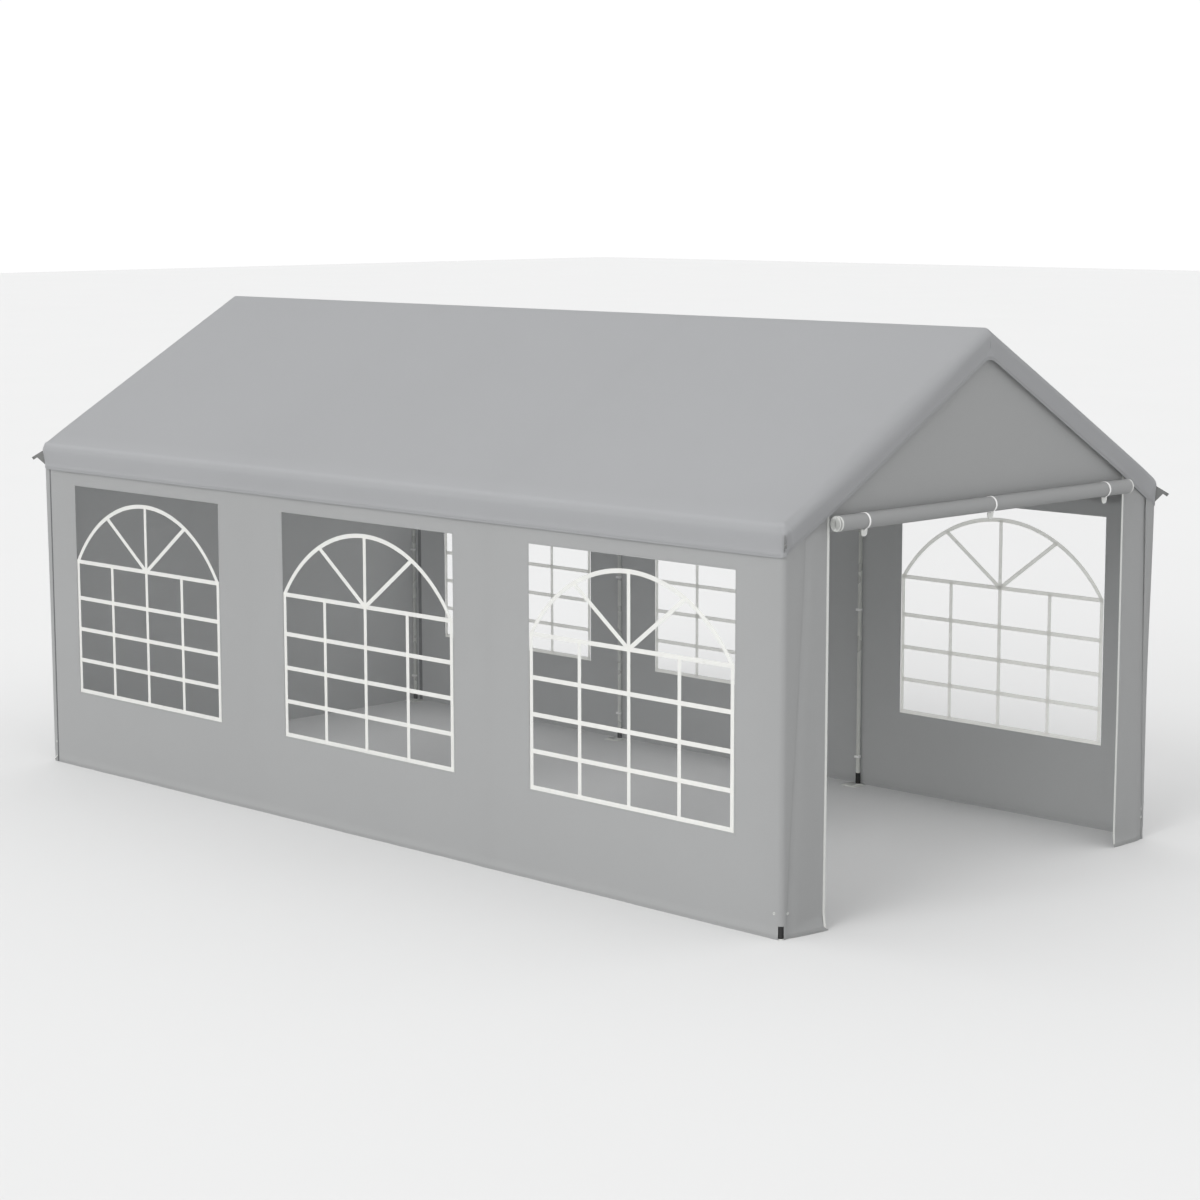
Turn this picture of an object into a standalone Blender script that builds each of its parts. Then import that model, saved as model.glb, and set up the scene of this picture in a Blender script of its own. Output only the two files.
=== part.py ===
"""Marquee tent, 3 by 6 metres: a steel tube frame under a fabric roof, with walls, windows and a rolled-up door.

Metres, +Z up. The origin is on the ground, at the middle of the tent. The ridge runs along Y, the door is in
the gable at -Y, and the left wall is at -X. Posts, rafters and fittings are numbered from the door backwards.
"""

import math

import bmesh
import bpy
from mathutils import Vector

# Overall sizes
WALL_WIDTH = 3.000              # outside face of one long wall to the other
WALL_LENGTH = 6.060             # outside face of the front to the outside face of the back wall
RIDGE_HEIGHT = 2.845            # where the two outer roof slopes meet, before the ridge is rounded
ROOF_PITCH = math.radians(30)
BAY_COUNT = 3

# Steel frame
TUBE_RADIUS = 0.0125
TUBE_WALL = 0.0012
SLEEVE_WALL = 0.0022            # wall of a fitting's sleeve around its tube
SLEEVE_LENGTH = 0.090           # from the middle of a fitting to a sleeve's mouth
HUB_RIM = 0.0007                # how far a fitting's hub takes in the corner where two sleeves meet
TUBE_STOP = 0.0045              # solid metal from a fitting's hub to the end of a tube
TUBE_SIDES = 12
FIT_GAP = 0.0003                # between two pieces that touch

# Foot plates
PLATE_SIZE = 0.110
PLATE_THICKNESS = 0.003
PLATE_RIM = 0.002               # how far a plate stands out round the outer side of its post
PEG_HOLE_RADIUS = 0.006
PEG_HOLE_INSET = 0.022          # from a plate's two inner edges

# Fabric
SHEET_THICKNESS = 0.002
SIDE_OVERHANG = 0.030           # from a long wall's outside face to the valance's
VALANCE_DROP = 0.134            # from the sharp eave line to the valance's lower hem
BAND_DEPTH = 0.158              # upright depth of the gable band
BAND_APEX_RADIUS = 0.140        # the band's lower edge is rounded under the ridge
EAVE_BEND_RADIUS = 0.060
GABLE_BEND_RADIUS = 0.033       # the cover runs flat to the end of the frame, then bends down to its band
BEND_STEPS = 4                  # facets in each bend of the cover
GABLE_TOP_DROP = 0.040          # from the roof's outside down to a gable sheet's top edge
WALL_TOP_CLEARANCE = 0.0238     # from a wall's top edge up to the eave fittings

# Guy tabs at the roof's four corners
TAB_REACH = 0.070
TAB_HEIGHT = 0.100
TAB_TIP_HEIGHT = 0.026
TAB_HEM_RISE = 0.012            # from the valance's hem up to the tab
TAB_THICKNESS = 0.003

# Corners of the walls
FRONT_LEFT_RETURN = 0.140       # how far the left wall turns on to the front
FRONT_RIGHT_RETURN = 0.070
BACK_RETURN = 0.050             # how far the back wall turns on to each side
BACK_SLOT = 0.015               # open seam between the back wall's return and a long wall
NOTCH_WIDTH = 0.020             # notch at the foot of each corner, to each side of it
NOTCH_HEIGHT = 0.068

# Door
LEFT_FLAP_WIDTH = 0.163         # from the left wall's return to the door
RIGHT_FLAP_WIDTH = 0.230
FLAP_LAP = 0.010                # how far a flap runs on behind the sheets that it hangs from
ROLL_RADIUS = 0.045
ROLL_CORE_RADIUS = 0.030
ROLL_RISE = 0.050               # from the top edge of the flaps up to the roll's axis
ROLL_LEFT_INSET = 0.042         # from the door's left edge to the roll's outer turns
ROLL_RIGHT_REACH = 0.010        # past the door's right edge
CORE_LEFT_REACH = 0.045         # past the door's left edge
ROLL_SIDES = 16
STRAP_INSET = 0.210             # from each edge of the door to the strap beside it
STRAP_WIDTH = 0.012
STRAP_THICKNESS = 0.002

# Windows, one in each bay of each long wall
WINDOW_WIDTH = 1.400
WINDOW_SILL = 0.473
WINDOW_TOP_MARGIN = 0.180       # from a window's head to the wall's top edge
PANE_LAP = 0.015                # how far the clear film laps over the wall around its opening
PANE_THICKNESS = 0.001

# Worked out from the sizes above
SLOPE = math.tan(ROOF_PITCH)
SLEEVE_RADIUS = TUBE_RADIUS + FIT_GAP + SLEEVE_WALL
SLEEVE_CORNER = min(math.cos(ROOF_PITCH), math.sin((math.pi / 2 + ROOF_PITCH) / 2))
HUB_RADIUS = SLEEVE_RADIUS / SLEEVE_CORNER + HUB_RIM
TUBE_SETBACK = HUB_RADIUS + TUBE_STOP
SKIN_OFFSET = HUB_RADIUS + FIT_GAP + SHEET_THICKNESS
POST_X = WALL_WIDTH / 2 - SKIN_OFFSET
POST_Y = WALL_LENGTH / 2 - SKIN_OFFSET
BAY_LENGTH = 2 * POST_Y / BAY_COUNT
RIDGE_Z = RIDGE_HEIGHT - SKIN_OFFSET / math.cos(ROOF_PITCH)
EAVE_Z = RIDGE_Z - SLOPE * POST_X
WALL_TOP = EAVE_Z - HUB_RADIUS - WALL_TOP_CLEARANCE
VALANCE_X = WALL_WIDTH / 2 + SIDE_OVERHANG
BAND_Y = POST_Y + HUB_RADIUS + GABLE_BEND_RADIUS
HEM_Z = RIDGE_HEIGHT - SLOPE * VALANCE_X - VALANCE_DROP
FRONT_Y = -WALL_LENGTH / 2
FLAP_Y = FRONT_Y + SHEET_THICKNESS + FIT_GAP
LEFT_RETURN_END = -WALL_WIDTH / 2 + FRONT_LEFT_RETURN
RIGHT_RETURN_END = WALL_WIDTH / 2 - FRONT_RIGHT_RETURN
DOOR_LEFT = LEFT_RETURN_END + LEFT_FLAP_WIDTH
DOOR_RIGHT = RIGHT_RETURN_END - RIGHT_FLAP_WIDTH
WINDOW_HEAD = WALL_TOP - WINDOW_TOP_MARGIN
ROLL_Y = -BAND_Y - FIT_GAP - ROLL_RADIUS
ROLL_Z = WALL_TOP + ROLL_RISE

UP = Vector((0, 0, 1))
BACKWARD = Vector((0, 1, 0))


def clear_scene():
    """Remove every object, so that the model starts from nothing."""
    for old in list(bpy.data.objects):
        bpy.data.objects.remove(old, do_unlink=True)


def make_material(name, colour, roughness, metallic=0.0, alpha=1.0):
    """Return a Principled BSDF material of one finish."""
    material = bpy.data.materials.new(name)
    material.use_nodes = True
    shader = material.node_tree.nodes["Principled BSDF"]
    shader.inputs["Base Color"].default_value = (*colour, 1.0)
    shader.inputs["Roughness"].default_value = roughness
    shader.inputs["Metallic"].default_value = metallic
    shader.inputs["Alpha"].default_value = alpha
    return material


def mesh_from(bm, name):
    """Turn a bmesh of closed shapes into a mesh with its faces pointing out."""
    bmesh.ops.remove_doubles(bm, verts=bm.verts, dist=1e-6)
    bmesh.ops.recalc_face_normals(bm, faces=bm.faces)
    mesh = bpy.data.meshes.new(name)
    bm.to_mesh(mesh)
    bm.free()
    return mesh


def add_piece(name, mesh, material, parent=None):
    """Put a mesh in the scene as one named piece."""
    piece = bpy.data.objects.new(name, mesh)
    bpy.context.scene.collection.objects.link(piece)
    if not mesh.materials:
        mesh.materials.append(material)
    piece.parent = parent
    return piece


def shade_round(mesh):
    """Shade a round piece smooth, with its ends sharp."""
    mesh.shade_smooth()
    mesh.set_sharp_from_angle(angle=math.radians(40))


def combine(mesh, tool_mesh, operation):
    """Join tool_mesh to mesh with UNION or cut it away with DIFFERENCE, and return the new mesh."""
    base = bpy.data.objects.new("base", mesh)
    tool = bpy.data.objects.new("tool", tool_mesh)
    bpy.context.scene.collection.objects.link(base)
    bpy.context.scene.collection.objects.link(tool)
    modifier = base.modifiers.new("combine", 'BOOLEAN')
    modifier.operation = operation
    modifier.object = tool
    bpy.context.view_layer.update()
    evaluated = base.evaluated_get(bpy.context.evaluated_depsgraph_get())
    result = bpy.data.meshes.new_from_object(evaluated)
    result.name = mesh.name
    bpy.data.objects.remove(base)
    bpy.data.objects.remove(tool)
    bpy.data.meshes.remove(mesh)
    bpy.data.meshes.remove(tool_mesh)
    return result


def rod_mesh(name, start, end, radius, sides=TUBE_SIDES):
    """Return a solid round rod from one point to another, with a corner of its section facing up or across."""
    start, end = Vector(start), Vector(end)
    run = end - start
    bm = bmesh.new()
    bmesh.ops.create_cone(bm, cap_ends=True, segments=sides, radius1=radius, radius2=radius, depth=run.length)
    turn = run.to_track_quat('Z', 'Y').to_matrix()
    bmesh.ops.rotate(bm, verts=bm.verts, matrix=turn)
    bmesh.ops.translate(bm, verts=bm.verts, vec=(start + end) / 2)
    return mesh_from(bm, name)


def tube_mesh(name, length):
    """Return a tube along Z with open ends, centred on the origin."""
    bm = bmesh.new()
    rings = []
    for radius in (TUBE_RADIUS, TUBE_RADIUS - TUBE_WALL):
        for z in (-length / 2, length / 2):
            circle = bmesh.ops.create_circle(bm, segments=TUBE_SIDES, radius=radius)["verts"]
            bmesh.ops.translate(bm, verts=circle, vec=(0, 0, z))
            rings.append(circle)
    outer_low, outer_high, inner_low, inner_high = rings
    for first, second in ((outer_low, outer_high), (outer_high, inner_high),
                          (inner_high, inner_low), (inner_low, outer_low)):
        for i in range(TUBE_SIDES):
            j = (i + 1) % TUBE_SIDES
            bm.faces.new((first[i], first[j], second[j], second[i]))
    mesh = mesh_from(bm, name)
    shade_round(mesh)
    return mesh


def box_mesh(name, low, high):
    """Return a box between two corners."""
    size = [b - a for a, b in zip(low, high)]
    centre = [(a + b) / 2 for a, b in zip(low, high)]
    bm = bmesh.new()
    bmesh.ops.create_cube(bm, size=1.0)
    bmesh.ops.scale(bm, verts=bm.verts, vec=size)
    bmesh.ops.translate(bm, verts=bm.verts, vec=centre)
    return mesh_from(bm, name)


def prism_mesh(name, outline, push):
    """Return the solid that a flat outline of points sweeps when it is pushed along a vector."""
    bm = bmesh.new()
    near = [bm.verts.new(point) for point in outline]
    far = [bm.verts.new(Vector(point) + Vector(push)) for point in outline]
    bm.faces.new(near)
    bm.faces.new(reversed(far))
    for i in range(len(outline)):
        j = (i + 1) % len(outline)
        bm.faces.new((near[i], near[j], far[j], far[i]))
    return mesh_from(bm, name)


def arc_points(centre, radius, start, end, steps):
    """Return points of an arc in a plane, from one angle to another."""
    points = []
    for i in range(steps + 1):
        angle = start + (end - start) * i / steps
        points.append((centre[0] + radius * math.cos(angle), centre[1] + radius * math.sin(angle)))
    return points


# Steel frame

def foot_plate_mesh(centred):
    """Return a foot plate, rounded like its post, that reaches inwards from it.

    A middle post's plate is centred on the post along Y; a corner post's reaches inwards both ways.
    """
    edge = TUBE_RADIUS + PLATE_RIM
    low_x = -edge
    low_y = -PLATE_SIZE / 2 if centred else -edge
    corners = ((low_x, low_y), (low_x + PLATE_SIZE, low_y),
               (low_x + PLATE_SIZE, low_y + PLATE_SIZE), (low_x, low_y + PLATE_SIZE))
    outline = []
    for i, (x, y) in enumerate(corners):
        inward_x = 1 if x == low_x else -1
        inward_y = 1 if y == low_y else -1
        centre = (x + inward_x * edge, y + inward_y * edge)
        start = math.pi + i * math.pi / 2
        for px, py in arc_points(centre, edge, start, start + math.pi / 2, TUBE_SIDES // 4):
            outline.append((px, py, 0))
    plate = prism_mesh("foot_plate", outline, (0, 0, PLATE_THICKNESS))
    hole_x = low_x + PLATE_SIZE - PEG_HOLE_INSET
    hole_y_far = low_y + PLATE_SIZE - PEG_HOLE_INSET
    hole_y_near = low_y + PEG_HOLE_INSET
    for hole_y in (hole_y_near, hole_y_far):
        hole = rod_mesh("hole", (hole_x, hole_y, -PLATE_THICKNESS), (hole_x, hole_y, 2 * PLATE_THICKNESS),
                        PEG_HOLE_RADIUS)
        plate = combine(plate, hole, 'DIFFERENCE')
    return plate


def post_mesh(centred):
    """Return a post welded to its foot plate, with its axis on the origin."""
    top = EAVE_Z - TUBE_SETBACK
    post = rod_mesh("post", (0, 0, PLATE_THICKNESS / 2), (0, 0, top), TUBE_RADIUS)
    post = combine(post, foot_plate_mesh(centred), 'UNION')
    bore = rod_mesh("bore", (0, 0, PLATE_THICKNESS), (0, 0, top + TUBE_SETBACK), TUBE_RADIUS - TUBE_WALL)
    post = combine(post, bore, 'DIFFERENCE')
    shade_round(post)
    return post


def fitting_mesh(name, sockets):
    """Return a fitting: a round hub along Y with a sleeve running out of it for each socket direction."""
    body = rod_mesh(name, -BACKWARD * HUB_RADIUS, BACKWARD * HUB_RADIUS, HUB_RADIUS)
    for direction in sockets:
        sleeve = rod_mesh("sleeve", (0, 0, 0), direction * SLEEVE_LENGTH, SLEEVE_RADIUS)
        body = combine(body, sleeve, 'UNION')
    for direction in sockets:
        bore = rod_mesh("bore", direction * (TUBE_SETBACK - FIT_GAP), direction * (SLEEVE_LENGTH + TUBE_SETBACK),
                        TUBE_RADIUS + FIT_GAP)
        body = combine(body, bore, 'DIFFERENCE')
    shade_round(body)
    return body


def rail_sockets(row):
    """Return which ways the rails leave a row of fittings."""
    sockets = []
    if row > 0:
        sockets.append(-BACKWARD)
    if row < BAY_COUNT:
        sockets.append(BACKWARD)
    return sockets


def row_y(row):
    """Return where a row of posts and rafters stands along Y."""
    return -POST_Y + row * BAY_LENGTH


def build_posts(material, parent):
    """Stand four posts along each long wall."""
    corner = post_mesh(centred=False)
    middle = post_mesh(centred=True)
    quarter_turns = {("left", 0): 0, ("right", 0): 1, ("right", BAY_COUNT): 2, ("left", BAY_COUNT): 3}
    for side, sign in (("left", -1), ("right", 1)):
        for row in range(BAY_COUNT + 1):
            at_corner = row in (0, BAY_COUNT)
            post = add_piece(f"{side}_post_{row + 1}", corner if at_corner else middle, material, parent)
            post.location = (sign * POST_X, row_y(row), 0)
            turns = quarter_turns[(side, row)] if at_corner else sign + 1
            post.rotation_euler.z = turns * math.pi / 2


def build_rails(material, parent):
    """Lay the eave rails and the ridge rails, one to a bay."""
    rail = tube_mesh("rail", BAY_LENGTH - 2 * TUBE_SETBACK)
    for line, x, z in (("left_eave", -POST_X, EAVE_Z), ("right_eave", POST_X, EAVE_Z), ("ridge", 0, RIDGE_Z)):
        for bay in range(BAY_COUNT):
            piece = add_piece(f"{line}_rail_{bay + 1}", rail, material, parent)
            piece.location = (x, row_y(bay) + BAY_LENGTH / 2, z)
            piece.rotation_euler.x = math.pi / 2


def build_rafters(material, parent):
    """Lean a rafter on each post, up to the ridge."""
    rafter = tube_mesh("rafter", POST_X / math.cos(ROOF_PITCH) - 2 * TUBE_SETBACK)
    for side, sign in (("left", -1), ("right", 1)):
        for row in range(BAY_COUNT + 1):
            piece = add_piece(f"{side}_rafter_{row + 1}", rafter, material, parent)
            piece.location = (sign * POST_X / 2, row_y(row), (EAVE_Z + RIDGE_Z) / 2)
            piece.rotation_euler.y = -sign * (math.pi / 2 - ROOF_PITCH)


def build_fittings(material, parent):
    """Put a fitting where the tubes meet, on each post and along the ridge."""
    for row in range(BAY_COUNT + 1):
        lines = []
        for side, sign in (("left", -1), ("right", 1)):
            up_slope = Vector((-sign * math.cos(ROOF_PITCH), 0, math.sin(ROOF_PITCH)))
            lines.append((f"{side}_eave", sign * POST_X, EAVE_Z, [-UP, up_slope]))
        down_slopes = [Vector((sign * math.cos(ROOF_PITCH), 0, -math.sin(ROOF_PITCH))) for sign in (-1, 1)]
        lines.append(("ridge", 0, RIDGE_Z, down_slopes))
        for line, x, z, cross_sockets in lines:
            name = f"{line}_fitting_{row + 1}"
            mesh = fitting_mesh(name, cross_sockets + rail_sockets(row))
            piece = add_piece(name, mesh, material, parent)
            piece.location = (x, row_y(row), z)


# Roof cover

def roof_outline(inset):
    """Return the cover's cross-section as x and z, from the left hem over the ridge to the right hem.

    The whole outline is moved in by inset, and its bends tighten with it.
    """
    lean = math.pi / 2 - ROOF_PITCH
    eave_corner = RIDGE_HEIGHT - SLOPE * VALANCE_X
    eave_centre = (VALANCE_X - EAVE_BEND_RADIUS, eave_corner - EAVE_BEND_RADIUS * math.tan(lean / 2))
    right = [(VALANCE_X - inset, HEM_Z)]
    right += arc_points(eave_centre, EAVE_BEND_RADIUS - inset, 0, lean, BEND_STEPS)
    if inset < SKIN_OFFSET:
        right += arc_points((0, RIDGE_Z), SKIN_OFFSET - inset, lean, math.pi / 2, BEND_STEPS // 2)
    else:
        right += [(0, RIDGE_HEIGHT - inset / math.cos(ROOF_PITCH))] * (BEND_STEPS // 2 + 1)
    left = [(-x, z) for x, z in right[:-1]]
    return left + right[::-1]


def roof_skin(bm, depth):
    """Add one skin of the cover to bm, depth inside its outer face, as rings of points from front to back."""
    turns = [math.pi / 2 * (1 - i / BEND_STEPS) for i in range(BEND_STEPS + 1)]
    bend = GABLE_BEND_RADIUS - depth
    front = [(-BAND_Y + GABLE_BEND_RADIUS - bend * math.sin(turn), GABLE_BEND_RADIUS - bend * math.cos(turn))
             for turn in turns]
    stations = front + [(-y, inset) for y, inset in reversed(front)]
    rings = []
    for y, inset in stations:
        rings.append([bm.verts.new((x, y, z)) for x, z in roof_outline(inset)])
    for ring, following in zip(rings, rings[1:]):
        for i in range(len(ring) - 1):
            bm.faces.new((ring[i], ring[i + 1], following[i + 1], following[i]))
    bm.faces.new(rings[0])
    bm.faces.new(rings[-1])
    return rings


def gable_opening_mesh():
    """Return the prism that cuts both gables open below their bands, round-topped under the ridge."""
    apex = RIDGE_HEIGHT - BAND_DEPTH
    below = HEM_Z - VALANCE_DROP
    half_width = (apex - below) / SLOPE
    round_centre = (0, apex - BAND_APEX_RADIUS / math.cos(ROOF_PITCH))
    lean = math.pi / 2 - ROOF_PITCH
    outline = [(-half_width, below), (half_width, below)]
    outline += arc_points(round_centre, BAND_APEX_RADIUS, lean, math.pi - lean, 2 * BEND_STEPS)
    return prism_mesh("gable_opening", [(x, -2 * BAND_Y, z) for x, z in outline], (0, 4 * BAND_Y, 0))


def guy_tab_mesh(sign_x, sign_y):
    """Return the guy tab at one corner of the cover, pointing out at 45 degrees."""
    outward = Vector((sign_x, sign_y, 0)).normalized()
    across = Vector((-outward.y, outward.x, 0)) * TAB_THICKNESS
    bend_centre = Vector((sign_x * (VALANCE_X - GABLE_BEND_RADIUS), sign_y * (BAND_Y - GABLE_BEND_RADIUS), 0))
    root = bend_centre + outward * (GABLE_BEND_RADIUS - SHEET_THICKNESS * 0.75)
    tip = bend_centre + outward * (GABLE_BEND_RADIUS + TAB_REACH)
    low = HEM_Z + TAB_HEM_RISE
    middle = low + TAB_HEIGHT / 2
    outline = [root + UP * low, tip + UP * (middle - TAB_TIP_HEIGHT / 2),
               tip + UP * (middle + TAB_TIP_HEIGHT / 2), root + UP * (low + TAB_HEIGHT)]
    return prism_mesh("guy_tab", [point - across / 2 for point in outline], across)


def build_roof_cover(material, parent):
    """Make the roof cover: two slopes, a valance down each side and a band along each gable."""
    bm = bmesh.new()
    outer = roof_skin(bm, 0)
    inner = roof_skin(bm, SHEET_THICKNESS)
    for end in (0, -1):
        for i in range(len(outer) - 1):
            bm.faces.new((outer[i][end], outer[i + 1][end], inner[i + 1][end], inner[i][end]))
        bm.faces.new((outer[end][0], outer[end][-1], inner[end][-1], inner[end][0]))
    cover = mesh_from(bm, "roof_cover")
    cover = combine(cover, gable_opening_mesh(), 'DIFFERENCE')
    for sign_x in (-1, 1):
        for sign_y in (-1, 1):
            cover = combine(cover, guy_tab_mesh(sign_x, sign_y), 'UNION')
    shade_round(cover)
    add_piece("roof_cover", cover, material, parent)


# Walls

def sheet_mesh(name, stations):
    """Return an upright sheet that follows stations along its outside face.

    Each station gives the outside point, the way inwards there, and the sheet's lower and upper edge.
    """
    bm = bmesh.new()
    columns = []
    for (x, y), (inward_x, inward_y), low, high in stations:
        inner_x = x + inward_x * SHEET_THICKNESS
        inner_y = y + inward_y * SHEET_THICKNESS
        columns.append([bm.verts.new(point) for point in
                        ((x, y, low), (x, y, high), (inner_x, inner_y, high), (inner_x, inner_y, low))])
    for column, following in zip(columns, columns[1:]):
        for i in range(4):
            j = (i + 1) % 4
            bm.faces.new((column[i], column[j], following[j], following[i]))
    bm.faces.new(columns[0])
    bm.faces.new(columns[-1])
    return mesh_from(bm, name)


def corner_stations(sign_x, sign_y, low, high):
    """Return the stations round one corner post, from the long wall's face to the gable wall's face."""
    stations = []
    for cosine, sine in arc_points((0, 0), 1, 0, math.pi / 2, TUBE_SIDES // 4):
        outside = (sign_x * (POST_X + SKIN_OFFSET * cosine), sign_y * (POST_Y + SKIN_OFFSET * sine))
        stations.append((outside, (-sign_x * cosine, -sign_y * sine), low, high))
    return stations


def notch_mesh(sign_x, sign_y):
    """Return the box that notches the foot of one wall corner, round its post."""
    near_x = sign_x * (WALL_WIDTH / 2 - NOTCH_WIDTH)
    near_y = sign_y * (WALL_LENGTH / 2 - NOTCH_WIDTH)
    low_x, high_x = sorted((near_x, near_x + sign_x * 2 * NOTCH_WIDTH))
    low_y, high_y = sorted((near_y, near_y + sign_y * 2 * NOTCH_WIDTH))
    return box_mesh("notch", (low_x, low_y, -NOTCH_HEIGHT), (high_x, high_y, NOTCH_HEIGHT))


def build_side_wall(side, sign, front_return, material, parent):
    """Hang one long wall, which turns the front corner, and cut a window in each bay."""
    back_end = WALL_LENGTH / 2 - BACK_RETURN - BACK_SLOT
    stations = [((sign * WALL_WIDTH / 2, back_end), (-sign, 0), 0, WALL_TOP)]
    stations += corner_stations(sign, -1, 0, WALL_TOP)
    stations.append(((sign * (WALL_WIDTH / 2 - front_return), FRONT_Y), (0, 1), 0, WALL_TOP))
    wall = sheet_mesh(f"{side}_wall", stations)
    near, far = sorted((sign * (POST_X - HUB_RADIUS), sign * VALANCE_X))
    for bay in range(BAY_COUNT):
        middle = row_y(bay) + BAY_LENGTH / 2
        opening = box_mesh("opening", (near, middle - WINDOW_WIDTH / 2, WINDOW_SILL),
                           (far, middle + WINDOW_WIDTH / 2, WINDOW_HEAD))
        wall = combine(wall, opening, 'DIFFERENCE')
    wall = combine(wall, notch_mesh(sign, -1), 'DIFFERENCE')
    add_piece(f"{side}_wall", wall, material, parent)


def build_window_films(side, sign, material, parent):
    """Close each window with a clear film, welded to the wall's inside face."""
    outside = WALL_WIDTH / 2 - SHEET_THICKNESS - FIT_GAP
    near, far = sorted((sign * outside, sign * (outside - PANE_THICKNESS)))
    half_width = WINDOW_WIDTH / 2 + PANE_LAP
    film = box_mesh(f"{side}_window", (near, -half_width, WINDOW_SILL - PANE_LAP),
                    (far, half_width, WINDOW_HEAD + PANE_LAP))
    for bay in range(BAY_COUNT):
        piece = add_piece(f"{side}_window_{bay + 1}", film, material, parent)
        piece.location.y = row_y(bay) + BAY_LENGTH / 2


def gable_top(x):
    """Return the height of a gable sheet's top edge at x."""
    return RIDGE_HEIGHT - GABLE_TOP_DROP - SLOPE * abs(x)


def build_back_wall(material, parent):
    """Hang the closed back wall, which turns both back corners and fills the gable."""
    side_end = WALL_LENGTH / 2 - BACK_RETURN
    stations = [((-WALL_WIDTH / 2, side_end), (1, 0), 0, WALL_TOP)]
    stations += corner_stations(-1, 1, 0, WALL_TOP)
    stations.append(((0, WALL_LENGTH / 2), (0, -1), 0, gable_top(0)))
    stations += reversed(corner_stations(1, 1, 0, WALL_TOP))
    stations.append(((WALL_WIDTH / 2, side_end), (-1, 0), 0, WALL_TOP))
    wall = sheet_mesh("back_wall", stations)
    for sign_x in (-1, 1):
        wall = combine(wall, notch_mesh(sign_x, 1), 'DIFFERENCE')
    add_piece("back_wall", wall, material, parent)


def build_front(fabric, webbing, parent):
    """Hang the front: its gable sheet, a flap each side of the doorway, and the door rolled up over it."""
    seam = WALL_TOP + FIT_GAP
    inward = (0, 1)
    gable = [((x, FRONT_Y), inward, seam, gable_top(x)) for x in (-POST_X, 0, POST_X)]
    add_piece("front_gable", sheet_mesh("front_gable", gable), fabric, parent)
    for name, ends in (("front_left_flap", (LEFT_RETURN_END - FLAP_LAP, DOOR_LEFT)),
                       ("front_right_flap", (DOOR_RIGHT, RIGHT_RETURN_END + FLAP_LAP))):
        flap = [((x, FLAP_Y), inward, 0, WALL_TOP + FLAP_LAP) for x in ends]
        add_piece(name, sheet_mesh(name, flap), fabric, parent)
    build_door_roll(fabric, parent)
    build_door_straps(webbing, parent)


def build_door_roll(material, parent):
    """Roll the door panel up, with its inner turns standing out at the left end."""
    left_end = DOOR_LEFT + ROLL_LEFT_INSET
    right_end = DOOR_RIGHT + ROLL_RIGHT_REACH
    roll = rod_mesh("door_roll", (left_end, 0, 0), (right_end, 0, 0), ROLL_RADIUS, ROLL_SIDES)
    core = rod_mesh("core", (DOOR_LEFT - CORE_LEFT_REACH, 0, 0), (left_end + ROLL_RADIUS, 0, 0),
                    ROLL_CORE_RADIUS, ROLL_SIDES)
    roll = combine(roll, core, 'UNION')
    shade_round(roll)
    piece = add_piece("door_roll", roll, material, parent)
    piece.location = (0, ROLL_Y, ROLL_Z)


def strap_mesh():
    """Return a strap that loops round the roll, with its tail sewn to the gable sheet behind it."""
    inner = ROLL_RADIUS + FIT_GAP
    outer = inner + STRAP_THICKNESS
    half_width = STRAP_WIDTH / 2
    strap = rod_mesh("door_strap", (-half_width, 0, 0), (half_width, 0, 0), outer, ROLL_SIDES)
    tail_end = FRONT_Y - FIT_GAP - ROLL_Y
    tail = box_mesh("tail", (-half_width, 0, inner), (half_width, tail_end, outer))
    strap = combine(strap, tail, 'UNION')
    hollow = rod_mesh("hollow", (-STRAP_WIDTH, 0, 0), (STRAP_WIDTH, 0, 0), inner, ROLL_SIDES)
    strap = combine(strap, hollow, 'DIFFERENCE')
    shade_round(strap)
    return strap


def build_door_straps(material, parent):
    """Tie the roll up with three straps."""
    strap = strap_mesh()
    places = {"left": DOOR_LEFT + STRAP_INSET, "middle": (DOOR_LEFT + DOOR_RIGHT) / 2,
              "right": DOOR_RIGHT - STRAP_INSET}
    for name, x in places.items():
        piece = add_piece(f"door_strap_{name}", strap, material, parent)
        piece.location = (x, ROLL_Y, ROLL_Z)


def main():
    """Build the whole tent."""
    clear_scene()
    steel = make_material("coated_steel", (0.72, 0.72, 0.70), 0.40)
    cover_fabric = make_material("roof_fabric", (0.42, 0.425, 0.43), 0.55)
    wall_fabric = make_material("wall_fabric", (0.38, 0.38, 0.38), 0.60)
    film = make_material("clear_film", (0.95, 0.96, 0.97), 0.08, alpha=0.15)
    webbing = make_material("white_webbing", (0.80, 0.80, 0.79), 0.70)

    tent = bpy.data.objects.new("marquee_tent", None)
    bpy.context.scene.collection.objects.link(tent)
    build_posts(steel, tent)
    build_rails(steel, tent)
    build_rafters(steel, tent)
    build_fittings(steel, tent)
    build_roof_cover(cover_fabric, tent)
    for side, sign, front_return in (("left", -1, FRONT_LEFT_RETURN), ("right", 1, FRONT_RIGHT_RETURN)):
        build_side_wall(side, sign, front_return, wall_fabric, tent)
        build_window_films(side, sign, film, tent)
    build_back_wall(wall_fabric, tent)
    build_front(wall_fabric, webbing, tent)


main()
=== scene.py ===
"""Looks of the marquee tent: its cloth, clear windows, rolled-up door, frame finishes and a plain studio.

Metres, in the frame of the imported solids: +Z is up, the door is in the gable at -Y, and the left wall is at -X.
"""

import logging
import math
from dataclasses import dataclass, field
from enum import Enum
from typing import Any, Callable, Iterable, Sequence

import bpy
import numpy as np
from mathutils import Matrix, Vector


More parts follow.
